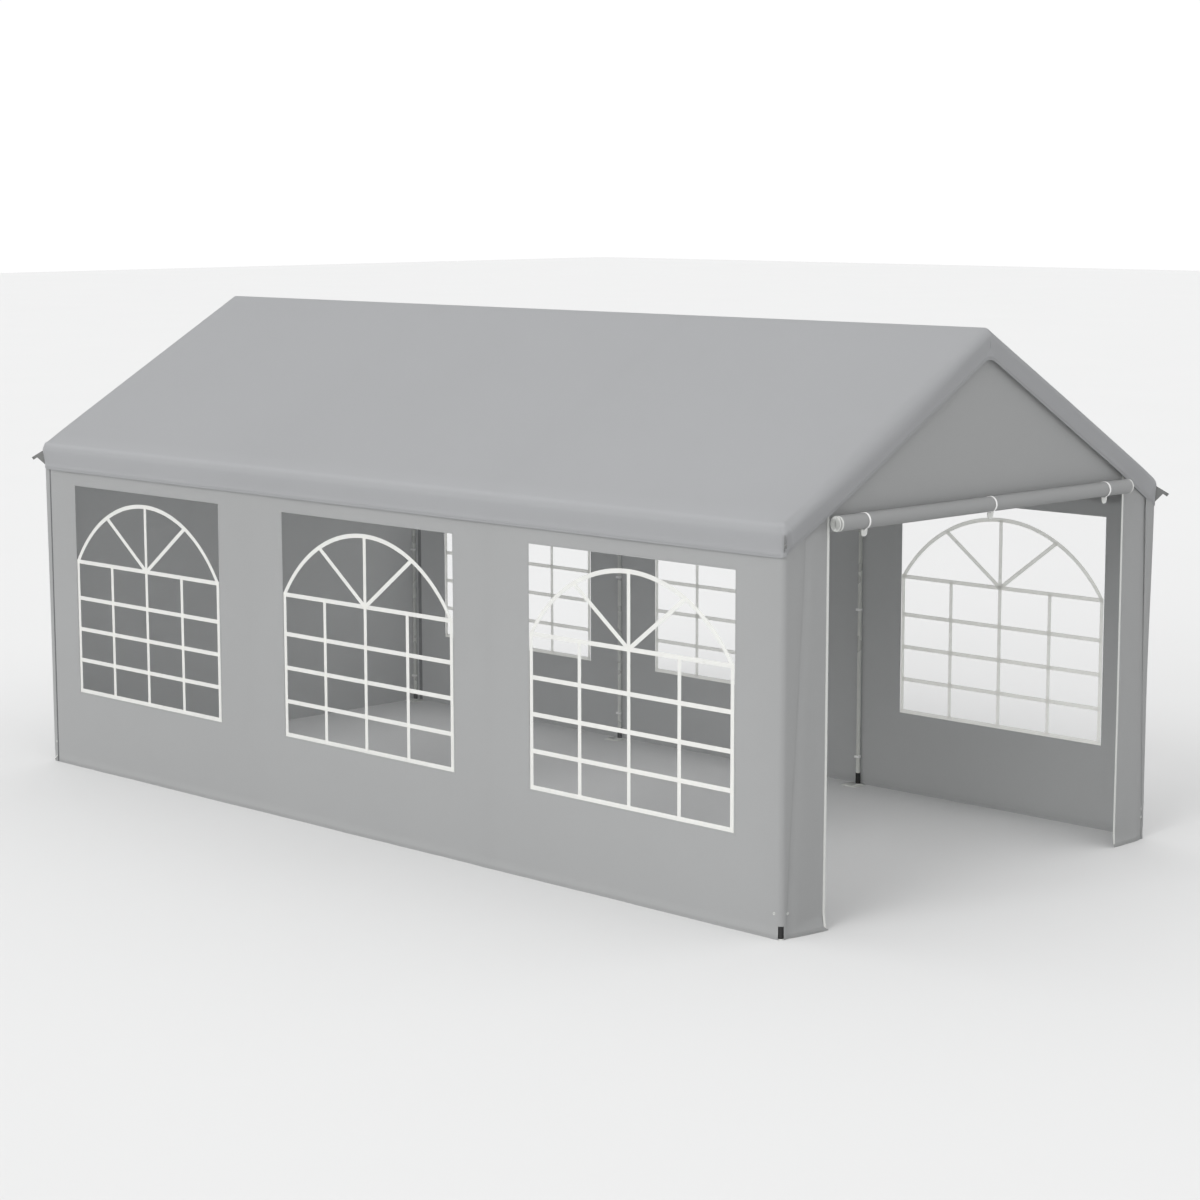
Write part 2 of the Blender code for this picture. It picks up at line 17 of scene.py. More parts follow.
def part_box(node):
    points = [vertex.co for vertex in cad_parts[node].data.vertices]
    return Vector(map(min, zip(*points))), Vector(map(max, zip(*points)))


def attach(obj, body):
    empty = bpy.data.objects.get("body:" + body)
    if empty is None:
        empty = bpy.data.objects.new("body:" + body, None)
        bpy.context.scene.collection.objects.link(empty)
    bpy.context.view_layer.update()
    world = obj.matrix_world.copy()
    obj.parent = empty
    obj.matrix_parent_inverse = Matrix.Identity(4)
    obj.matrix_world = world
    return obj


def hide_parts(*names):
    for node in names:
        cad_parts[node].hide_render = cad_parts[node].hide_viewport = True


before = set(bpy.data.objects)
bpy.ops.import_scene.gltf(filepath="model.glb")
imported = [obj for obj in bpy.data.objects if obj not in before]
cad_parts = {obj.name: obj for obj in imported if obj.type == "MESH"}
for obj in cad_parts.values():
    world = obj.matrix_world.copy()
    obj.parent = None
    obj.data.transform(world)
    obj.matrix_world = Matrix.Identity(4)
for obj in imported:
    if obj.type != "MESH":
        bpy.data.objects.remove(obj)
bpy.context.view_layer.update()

LOG = logging.getLogger("marquee_tent")
BODY = "root"
CLOTH_UV = "cloth"
# Per-point mark: positive on hems, which darkens them; negative on the roof's eave bend, where it paints a highlight.
SEAM_AND_HIGHLIGHT_MARK = "seam"
FULL_TURN = 2 * math.pi
STITCH_PROUD = 0.0006
NOTCH_HEIGHT = 0.066
NOTCH_CELLS = (2, 9)

Point = tuple[float, float, float]
MarkedRows = tuple[list[list[Point]], list[float]]


class Slot(Enum):
    """Material slots of the record."""

    STEEL = "coated_steel"
    ROOF = "roof_fabric"
    WALL = "wall_fabric"
    FILM = "clear_film"
    WEBBING = "white_webbing"


class Corner(Enum):
    """The four corners of the tent, as the signs of x and y."""

    FRONT_LEFT = (-1, -1)
    FRONT_RIGHT = (1, -1)
    BACK_LEFT = (-1, 1)
    BACK_RIGHT = (1, 1)


# Node graphs

class Signal:
    """An output socket of a node graph that can be used in arithmetic."""

    def __init__(self, graph: "NodeGraph", socket: bpy.types.NodeSocket) -> None:
        """Wrap one socket of a graph."""
        self.graph = graph
        self.socket = socket

    def port(self, name: str) -> "Signal":
        """Return another output of the same node."""
        return Signal(self.graph, self.socket.node.outputs[name])

    def __add__(self, other: Any) -> "Signal":
        """Return the sum."""
        return self.graph.maths("ADD", self, other)

    def __radd__(self, other: Any) -> "Signal":
        """Return the sum, with the number first."""
        return self.graph.maths("ADD", other, self)

    def __sub__(self, other: Any) -> "Signal":
        """Return the difference."""
        return self.graph.maths("SUBTRACT", self, other)

    def __rsub__(self, other: Any) -> "Signal":
        """Return the number less this signal."""
        return self.graph.maths("SUBTRACT", other, self)

    def __mul__(self, other: Any) -> "Signal":
        """Return the product."""
        return self.graph.maths("MULTIPLY", self, other)

    def __rmul__(self, other: Any) -> "Signal":
        """Return the product, with the number first."""
        return self.graph.maths("MULTIPLY", other, self)

    def __truediv__(self, other: Any) -> "Signal":
        """Return the quotient."""
        return self.graph.maths("DIVIDE", self, other)


class NodeGraph:
    """Adds nodes to a shader or geometry tree and links them."""

    def __init__(self, tree: bpy.types.NodeTree) -> None:
        """Work on one node tree."""
        self.tree = tree

    def add(self, kind: str, settings: dict[str, Any] | None = None,
            inputs: dict[str | int, Any] | None = None, output: str | int = 0) -> Signal:
        """Add one node.

        Args:
            kind: The node's type.
            settings: Its properties, set before anything else. "stops" sets a ramp's stops.
            inputs: A value or a Signal for each socket, by name or number.
            output: The output to return.

        Returns:
            The chosen output as a Signal.
        """
        node = self.tree.nodes.new(kind)
        for key, value in (settings or {}).items():
            if key == "stops":
                self._set_stops(node, value)
            else:
                setattr(node, key, value)
        for key, value in (inputs or {}).items():
            if isinstance(value, Signal):
                self.tree.links.new(value.socket, node.inputs[key])
            elif isinstance(value, list):
                for item in value:
                    self.tree.links.new(item.socket, node.inputs[key])
            else:
                node.inputs[key].default_value = value
        return Signal(self, node.outputs[output]) if node.outputs else Signal(self, None)

    @staticmethod
    def _set_stops(node: bpy.types.Node, stops: Sequence[tuple[float, Sequence[float]]]) -> None:
        """Give a colour ramp its stops, as (position, colour).

        Args:
            node: The ramp.
            stops: The position and colour of each stop.
        """
        elements = node.color_ramp.elements
        while len(elements) < len(stops):
            elements.new(1.0)
        for element, (position, colour) in zip(elements, stops):
            element.position = position
            element.color = colour

    def maths(self, operation: str, first: Any, second: Any = 0.0) -> Signal:
        """Return a Math node's result on two values or signals."""
        return self.add("ShaderNodeMath", {"operation": operation}, {0: first, 1: second})

    def scaled(self, vector: Any, factor: Any) -> Signal:
        """Return a colour or vector times a number."""
        return self.add("ShaderNodeVectorMath", {"operation": "SCALE"}, {0: vector, "Scale": factor})

    def noise(self, place: Signal, scale: float, detail: float = 2.0) -> Signal:
        """Return noise from -0.5 to 0.5 at a scale in waves a metre.

        Args:
            place: Where on the piece it is read.
            scale: Its waves a metre.
            detail: How many finer layers it has.

        Returns:
            The noise.
        """
        texture = self.add("ShaderNodeTexNoise", {"noise_dimensions": "3D"},
                           {"Vector": place, "Scale": scale, "Detail": detail})
        return texture - 0.5


class MaterialGraph(NodeGraph):
    """A material's node tree with its Principled shader ready."""

    def __init__(self, name: str) -> None:
        """Make the material and find its shader.

        Args:
            name: The material's name.
        """
        self.material = bpy.data.materials.new(name)
        self.material.use_nodes = True
        super().__init__(self.material.node_tree)
        self.shader = self.tree.nodes["Principled BSDF"]
        self.place = self.add("ShaderNodeTexCoord", output="Object")

    def fix(self, **values: float) -> None:
        """Set constants on the shader's own sockets, with _ for a space in their names."""
        for name, value in values.items():
            self.shader.inputs[name.replace("_", " ")].default_value = value

    def feed(self, **signals: Signal) -> None:
        """Link what varies into the shader's sockets, with _ for a space in their names."""
        for name, signal in signals.items():
            self.tree.links.new(signal.socket, self.shader.inputs[name.replace("_", " ")])

    def bump(self, height: Signal) -> Signal:
        """Return the normal of a height given in metres."""
        return self.add("ShaderNodeBump", None, {"Strength": 1.0, "Distance": 1.0, "Height": height})

    def let_light_through(self, share: float, colour: Sequence[float]) -> None:
        """Mix the shader with one that passes light on, as thin cloth does.

        Args:
            share: The part that passes light on, from 0 to 1.
            colour: The colour of that light.
        """
        glow = self.add("ShaderNodeBsdfTranslucent", None, {"Color": (*colour, 1.0)})
        mixed = self.add("ShaderNodeMixShader", None,
                         {0: share, 1: Signal(self, self.shader.outputs[0]), 2: glow})
        self.tree.links.new(mixed.socket, self.tree.nodes["Material Output"].inputs["Surface"])


# Finishes

@dataclass(frozen=True)
class CoatedCloth:
    """Woven sheet with a grey coating, whose weave shows through faintly and puckers at its seams; its seams are
    darker, and a negative seam mark paints a highlight on it.
    """

    name: str
    colour: tuple[float, float, float]
    roughness: float = 0.50
    weave_pitch: float = 0.0032
    weave_depth: float = 0.000045
    crease_depth: float = 0.0012
    pucker_depth: float = 0.0004
    tone_change: float = 0.05
    seam_and_highlight_tone: float = 0.06
    glow_share: float = 0.35
    glow_colour: tuple[float, float, float] = (0.71, 0.72, 0.72)

    def material(self) -> bpy.types.Material:
        """Return the cloth's material.

        Returns:
            The material.
        """
        graph = MaterialGraph(self.name)
        flat = graph.add("ShaderNodeUVMap", {"uv_map": CLOTH_UV})
        across = graph.add("ShaderNodeSeparateXYZ", None, {0: flat})
        seam = graph.add("ShaderNodeAttribute", {"attribute_name": SEAM_AND_HIGHLIGHT_MARK}, output="Fac")
        turns = FULL_TURN / self.weave_pitch
        warp = graph.maths("SINE", across * turns)
        weft = graph.maths("SINE", across.port("Y") * turns)
        cloudy = graph.noise(graph.place, 1.1, 3.0)
        mottled = graph.noise(graph.place, 38.0, 2.0)
        creased = graph.noise(graph.place, 2.6, 1.5)
        puckered = graph.noise(graph.place, 55.0, 1.0)
        # Positive seam marks darken the hems; negative ones paint a highlight on the cloth.
        tone = 1.0 + cloudy * self.tone_change + mottled * (self.tone_change / 2) - seam * self.seam_and_highlight_tone
        height = warp * weft * self.weave_depth + creased * self.crease_depth
        height = height + puckered * graph.maths("MAXIMUM", seam, 0.0) * self.pucker_depth
        graph.feed(Base_Color=graph.scaled(self.colour, tone),
                   Roughness=self.roughness + cloudy * 0.10 + mottled * 0.05,
                   Normal=graph.bump(height))
        graph.fix(Specular_IOR_Level=0.20)
        graph.let_light_through(self.glow_share, self.glow_colour)
        return graph.material


@dataclass(frozen=True)
class ClearFilm:
    """Clear flexible film with faint waves and scuffs."""

    name: str
    colour: tuple[float, float, float] = (0.80, 0.82, 0.84)
    haze: float = 0.02
    wave_depth: float = 0.0016

    def material(self) -> bpy.types.Material:
        """Return the film's material.

        Returns:
            The material.
        """
        graph = MaterialGraph(self.name)
        waves = graph.noise(graph.place, 3.2, 1.0)
        scuffs = graph.noise(graph.place, 24.0, 4.0)
        graph.feed(Base_Color=graph.scaled(self.colour, 1.0 + scuffs * 0.10),
                   Roughness=0.10 + scuffs * 0.08,
                   Alpha=self.haze + scuffs * (self.haze / 2),
                   Normal=graph.bump(waves * self.wave_depth))
        graph.fix(IOR=1.5)
        return graph.material


@dataclass(frozen=True)
class WhitePlastic:
    """White welded strip or moulded part, slightly uneven."""

    name: str
    colour: tuple[float, float, float] = (0.86, 0.86, 0.84)
    roughness: float = 0.42
    glow_share: float = 0.0
    grain_depth: float = 0.00008

    def material(self) -> bpy.types.Material:
        """Return the plastic's material.

        Returns:
            The material.
        """
        graph = MaterialGraph(self.name)
        cloudy = graph.noise(graph.place, 6.0, 2.0)
        grain = graph.noise(graph.place, 420.0, 2.0)
        graph.feed(Base_Color=graph.scaled(self.colour, 1.0 + cloudy * 0.05),
                   Roughness=self.roughness + cloudy * 0.12,
                   Normal=graph.bump(grain * self.grain_depth))
        if self.glow_share:
            graph.let_light_through(self.glow_share, self.colour)
        return graph.material


@dataclass(frozen=True)
class WovenTape:
    """Webbing, zip tape or thread with a ribbed weave."""

    name: str
    colour: tuple[float, float, float] = (0.84, 0.84, 0.83)
    rib_pitch: float = 0.0024
    rib_depth: float = 0.00018

    def material(self) -> bpy.types.Material:
        """Return the tape's material.

        Returns:
            The material.
        """
        graph = MaterialGraph(self.name)
        place = graph.add("ShaderNodeSeparateXYZ", None, {0: graph.place})
        turns = FULL_TURN / self.rib_pitch
        ribs = graph.maths("SINE", (place + place.port("Y")) * turns) * graph.maths("SINE", place.port("Z") * turns)
        worn = graph.noise(graph.place, 30.0, 3.0)
        graph.feed(Base_Color=graph.scaled(self.colour, 1.0 + ribs * 0.05 + worn * 0.08),
                   Roughness=0.72 + worn * 0.15,
                   Normal=graph.bump(ribs * self.rib_depth))
        return graph.material


@dataclass(frozen=True)
class CoatedSteel:
    """Zinc-coated steel with a fine unevenness and light scuffs."""

    name: str
    colour: tuple[float, float, float] = (0.82, 0.83, 0.79)
    bare_colour: tuple[float, float, float] = (0.42, 0.42, 0.42)
    metallic: float = 0.25
    scuff_level: float = 0.23
    peel_depth: float = 0.00006

    def material(self) -> bpy.types.Material:
        """Return the steel's material.

        Returns:
            The material.
        """
        graph = MaterialGraph(self.name)
        peel = graph.noise(graph.place, 260.0, 1.0)
        cloudy = graph.noise(graph.place, 5.0, 2.0)
        scuff_noise = graph.noise(graph.place, 34.0, 6.0)
        scuffs = graph.add("ShaderNodeMapRange", {"interpolation_type": "SMOOTHSTEP"},
                           {"Value": scuff_noise, "From Min": self.scuff_level,
                            "From Max": self.scuff_level + 0.05})
        coat = graph.scaled(self.colour, 1.0 + cloudy * 0.08)
        worn = graph.add("ShaderNodeMix", {"data_type": "RGBA"},
                         {0: scuffs * 0.4, 6: coat, 7: (*self.bare_colour, 1.0)}, output=2)
        graph.feed(Base_Color=worn, Roughness=0.28 + cloudy * 0.10 + scuffs * 0.14,
                   Normal=graph.bump(peel * self.peel_depth - scuffs * self.peel_depth))
        graph.fix(Metallic=self.metallic)
        return graph.material


@dataclass(frozen=True)
class PlatedMetal:
    """Zinc-plated metal of the screws."""

    name: str
    colour: tuple[float, float, float] = (0.66, 0.66, 0.65)

    def material(self) -> bpy.types.Material:
        """Return the metal's material.

        Returns:
            The material.
        """
        graph = MaterialGraph(self.name)
        dull = graph.noise(graph.place, 120.0, 3.0)
        graph.feed(Base_Color=graph.scaled(self.colour, 1.0 + dull * 0.2), Roughness=0.32 + dull * 0.2)
        graph.fix(Metallic=0.9)
        return graph.material


@dataclass(frozen=True)
class StudioFloor:
    """Plain pale floor."""

    name: str
    colour: tuple[float, float, float] = (0.72, 0.722, 0.722)

    def material(self) -> bpy.types.Material:
        """Return the floor's material.

        Returns:
            The material.
        """
        graph = MaterialGraph(self.name)
        cloudy = graph.noise(graph.place, 0.4, 2.0)
        graph.feed(Base_Color=graph.scaled(self.colour, 1.0 + cloudy * 0.02))
        graph.fix(Roughness=0.85, Specular_IOR_Level=0.2)
        return graph.material


@dataclass(frozen=True)
class Finishes:
    """Every material of the tent, made once."""

    roof: bpy.types.Material
    wall: bpy.types.Material
    film: bpy.types.Material
    bars: bpy.types.Material
    tape: bpy.types.Material
    steel: bpy.types.Material
    plated: bpy.types.Material
    thread: bpy.types.Material
    zip_tape: bpy.types.Material
    tab_tape: bpy.types.Material
    dark_tape: bpy.types.Material
    dark_rubber: bpy.types.Material

    @classmethod
    def make(cls) -> "Finishes":
        """Return the tent's materials.

        Returns:
            The materials.
        """
        return cls(roof=CoatedCloth("grey_roof_cloth", (0.412, 0.417, 0.428)).material(),
                   wall=CoatedCloth("grey_wall_cloth", (0.410, 0.414, 0.415)).material(),
                   film=ClearFilm("clear_window_film").material(),
                   bars=WhitePlastic("white_bar_strip", (0.93, 0.93, 0.91), glow_share=0.55).material(),
                   tape=WovenTape("white_woven_tape").material(),
                   steel=CoatedSteel("zinc_coated_steel").material(),
                   plated=PlatedMetal("zinc_plate").material(),
                   thread=WovenTape("grey_thread", (0.34, 0.34, 0.34)).material(),
                   zip_tape=WovenTape("pale_zip_tape", (0.62, 0.63, 0.61)).material(),
                   # The tabs' near-black grey is painted shade: it darkens the tabs as their shade does.
                   tab_tape=WovenTape("grey_tab_tape", (0.170, 0.173, 0.170)).material(),
                   # The back zips' dark tape is a real zip whose dark grey paints the shade in the gaps beside the
                   # back corners.
                   dark_tape=WovenTape("dark_zip_tape_painted_shade", (0.170, 0.172, 0.178)).material(),
                   dark_rubber=WhitePlastic("dark_rubber", (0.010, 0.010, 0.010), 0.62).material())


# Meshes

def smoothed(value: float) -> float:
    """Return a smooth step from 0 to 1 of a value, held at both ends."""
    held = min(max(value, 0.0), 1.0)
    return held * held * (3 - 2 * held)


def spread(start: float, end: float, step: float) -> list[float]:
    """Return evenly spaced values from start to end, both included, about a step apart."""
    count = max(1, round(abs(end - start) / step))
    return [start + (end - start) * i / count for i in range(count + 1)]


def joined_marks(*stretches: Iterable[float]) -> list[float]:
    """Return the values of several stretches in rising order, each once."""
    marks = sorted(value for stretch in stretches for value in stretch)
    return [value for i, value in enumerate(marks) if i == 0 or value - marks[i - 1] > 1e-6]


def new_object(name: str, mesh: bpy.types.Mesh) -> bpy.types.Object:
    """Return a new object of a mesh, in the scene.

    Args:
        name: The object's name.
        mesh: Its mesh.

    Returns:
        The object.
    """
    piece = bpy.data.objects.new(name, mesh)
    bpy.context.scene.collection.objects.link(piece)
    return piece


def faced_object(name: str, points: Iterable[Sequence[float]], faces: Sequence[Sequence[int]],
                 material: bpy.types.Material) -> bpy.types.Object:
    """Make an object from points and faces.

    Args:
        name: The name of the object and of its mesh.
        points: The place of each point.
        faces: The points of each face.
        material: Its one material.

    Returns:
        The object, in the scene.
    """
    mesh = bpy.data.meshes.new(name)
    mesh.from_pydata([tuple(point) for point in points], [], faces)
    mesh.materials.append(material)
    return new_object(name, mesh)


def run_lengths(points: Sequence[Sequence[float]]) -> np.ndarray:
    """Return how far along a run each of its points lies."""
    return np.cumsum([0.0] + [math.dist(a, b) for a, b in zip(points, points[1:])])


def shade_by_angle(mesh: bpy.types.Mesh, degrees: float = 35.0) -> None:
    """Shade a mesh smooth, with its sharper edges kept."""
    mesh.shade_smooth()
    mesh.set_sharp_from_angle(angle=math.radians(degrees))


def evaluated_mesh(piece: bpy.types.Object) -> bpy.types.Mesh:
    """Return a plain mesh of an object with its modifiers applied.

    Args:
        piece: The object.

    Returns:
        The mesh.
    """
    bpy.context.view_layer.update()
    evaluated = piece.evaluated_get(bpy.context.evaluated_depsgraph_get())
    return bpy.data.meshes.new_from_object(evaluated, preserve_all_data_layers=True,
                                           depsgraph=bpy.context.evaluated_depsgraph_get())


def apply_modifiers(piece: bpy.types.Object) -> bpy.types.Object:
    """Make an object's modifiers part of its mesh.

    Args:
        piece: The object.

    Returns:
        The same object.
    """
    mesh = evaluated_mesh(piece)
    piece.modifiers.clear()
    piece.data = mesh
    return piece


def settle(piece: bpy.types.Object, slot: Slot, replaced: Sequence[str] = ()) -> bpy.types.Object:
    """Fasten a finished piece to the tent's body.

    Args:
        piece: The piece.
        slot: The record's slot of its finish; not used.
        replaced: The solids that it stands for.

    Returns:
        The same piece.
    """
    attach(piece, BODY)
    if replaced:
        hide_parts(*replaced)
    LOG.info("%s: %d faces", piece.name, len(piece.data.polygons))
    return piece


@dataclass
class ClothGrid:
    """A sheet of cloth as a grid of points.

    points holds rows by columns by x, y, z, and flat the place of each point on the flat cloth, in metres.
    Faces look to the side from which rows run right and columns run up, unless flip is set.
    """

    name: str
    points: np.ndarray | Sequence
    flat: np.ndarray | Sequence
    # Seam marks: positive on hems; negative where a highlight is painted.
    seam: np.ndarray | None = None
    is_open: Callable[[int, int], bool] | None = None
    flip: bool = False

    def __post_init__(self) -> None:
        """Turn lists into arrays, with no seam where none is given."""
        self.points, self.flat = np.array(self.points, float), np.array(self.flat, float)
        self.seam = np.zeros(self.points.shape[:2]) if self.seam is None else self.seam

    def to_object(self, material: bpy.types.Material, thickness: float) -> bpy.types.Object:
        """Return the sheet with its thickness laid on its inner side.

        Args:
            material: The cloth.
            thickness: The sheet's thickness, in metres.

        Returns:
            The sheet as an object.
        """
        rows, columns = self.points.shape[:2]
        faces = []
        for i in range(rows - 1):
            for j in range(columns - 1):
                if self.is_open and self.is_open(i, j):
                    continue
                face = (i * columns + j, i * columns + j + 1, (i + 1) * columns + j + 1, (i + 1) * columns + j)
                faces.append(face[::-1] if self.flip else face)
        mesh = bpy.data.meshes.new(self.name)
        mesh.from_pydata(self.points.reshape(-1, 3).tolist(), [], faces)
        corners = np.array([loop.vertex_index for loop in mesh.loops])
        mesh.uv_layers.new(name=CLOTH_UV).data.foreach_set("uv", self.flat.reshape(-1, 2)[corners].ravel())
        mark = mesh.attributes.new(SEAM_AND_HIGHLIGHT_MARK, "FLOAT", "POINT")
        mark.data.foreach_set("value", self.seam.reshape(-1).astype(np.float32))
        mesh.materials.append(material)
        mesh.validate()
        piece = new_object(self.name, mesh)
        self._drop_loose_points(piece)
        thicken = piece.modifiers.new("thickness", "SOLIDIFY")
        thicken.thickness = thickness
        thicken.offset = -1.0
        apply_modifiers(piece)
        shade_by_angle(piece.data)
        return piece

    @staticmethod
    def _drop_loose_points(piece: bpy.types.Object) -> None:
        """Delete points that no face uses, such as those inside a window.

        Args:
            piece: The sheet.
        """
        used = np.zeros(len(piece.data.vertices), bool)
        used[[loop.vertex_index for loop in piece.data.loops]] = True
        if used.all():
            return
        clean = piece.modifiers.new("clean", "MASK")
        group = piece.vertex_groups.new(name="used")
        group.add(np.flatnonzero(used).tolist(), 1.0, "REPLACE")
        clean.vertex_group = "used"
        apply_modifiers(piece)
        piece.vertex_groups.clear()


class ShapeTree:
    """A Geometry Nodes tree with named number inputs, run on a mesh to make a plain mesh."""

    def __init__(self, name: str, **inputs: float | int) -> None:
        """Make the tree and its inputs.

        Args:
            name: The tree's name.
            inputs: The default of each named input, with _ for a space.
        """
        self.tree = bpy.data.node_groups.new(name, "GeometryNodeTree")
        self.graph = NodeGraph(self.tree)
        self.tree.interface.new_socket("Geometry", in_out="INPUT", socket_type="NodeSocketGeometry")
        self.tree.interface.new_socket("Geometry", in_out="OUTPUT", socket_type="NodeSocketGeometry")
        self.keys: dict[str, str] = {}
        for label, default in inputs.items():
            kind = "NodeSocketInt" if isinstance(default, int) else "NodeSocketFloat"
            socket = self.tree.interface.new_socket(label.replace("_", " "), in_out="INPUT", socket_type=kind)
            socket.default_value = default
            self.keys[label] = socket.identifier
        self.source = self.graph.add("NodeGroupInput")

    def value(self, label: str) -> Signal:
        """Return a named input."""
        return self.source.port(label.replace("_", " "))

    def vector(self, x: Any = 0.0, y: Any = 0.0, z: Any = 0.0) -> Signal:
        """Return a vector of three values or signals."""
        return self.graph.add("ShaderNodeCombineXYZ", None, {0: x, 1: y, 2: z})

    def end(self, geometry: Signal, material: bpy.types.Material) -> None:
        """Realize the instances, set the material and send the result out.

        Args:
            geometry: The whole shape.
            material: Its material.
        """
        real = self.graph.add("GeometryNodeRealizeInstances", None, {0: geometry})
        dressed = self.graph.add("GeometryNodeSetMaterial", None, {"Geometry": real, "Material": material})
        self.graph.add("NodeGroupOutput", None, {0: dressed})

    def run(self, name: str, base: bpy.types.Mesh, **values: float | int) -> bpy.types.Object:
        """Run the tree on a mesh.

        Args:
            name: The new object's name.
            base: The mesh that the tree starts from.
            values: Inputs that differ from their defaults.

        Returns:
            A new object with the result as a plain mesh.
        """
        carrier = bpy.data.objects.new(name, base)
        modifier = carrier.modifiers.new("shape", "NODES")
        modifier.node_group = self.tree
        for label, value in values.items():
            modifier[self.keys[label]] = value
        bpy.context.scene.collection.objects.link(carrier)
        mesh = evaluated_mesh(carrier)
        mesh.name = name
        bpy.data.objects.remove(carrier)
        shade_by_angle(mesh, 40.0)
        return new_object(name, mesh)


def line_mesh(name: str, runs: Sequence[Sequence[Vector]]) -> bpy.types.Mesh:
    """Return a mesh of edges that follows each run of points.

    Args:
        name: The mesh's name.
        runs: The points of each run, in order.

    Returns:
        The mesh.
    """
    points = []
    edges = []
    for run in runs:
        first = len(points)
        points += [tuple(point) for point in run]
        edges += [(first + i, first + i + 1) for i in range(len(run) - 1)]
    mesh = bpy.data.meshes.new(name)
    mesh.from_pydata(points, edges, [])
    return mesh


@dataclass
class Spot:
    """A place for a small part, the way that it faces and the way to its side."""

    place: Vector
    facing: Vector
    side: Vector = field(default_factory=lambda: Vector((1, 0, 0)))


def point_mesh(name: str, spots: Sequence[Spot]) -> bpy.types.Mesh:
    """Return a mesh of single points that carry the spots' facing and side.

    Args:
        name: The mesh's name.
        spots: The places.

    Returns:
        The mesh.
    """
    mesh = bpy.data.meshes.new(name)
    mesh.from_pydata([tuple(spot.place) for spot in spots], [], [])
    for label in ("facing", "side"):
        ways = np.array([tuple(getattr(spot, label)) for spot in spots], np.float32)
        mesh.attributes.new(label, "FLOAT_VECTOR", "POINT").data.foreach_set("vector", ways.ravel())
    return mesh


def lay_along(tree: ShapeTree, name: str, runs: Sequence[Sequence[Vector]], slot: Slot,
              **sizes: float) -> bpy.types.Object:
    """Run a tree along runs of points and settle the result."""
    return settle(tree.run(name, line_mesh(name, runs), **sizes), slot)


def put_on(tree: ShapeTree, name: str, spots: Sequence[Spot], slot: Slot) -> bpy.types.Object:
    """Run a tree on spots and settle the result."""
    return settle(tree.run(name, point_mesh(name, spots)), slot)


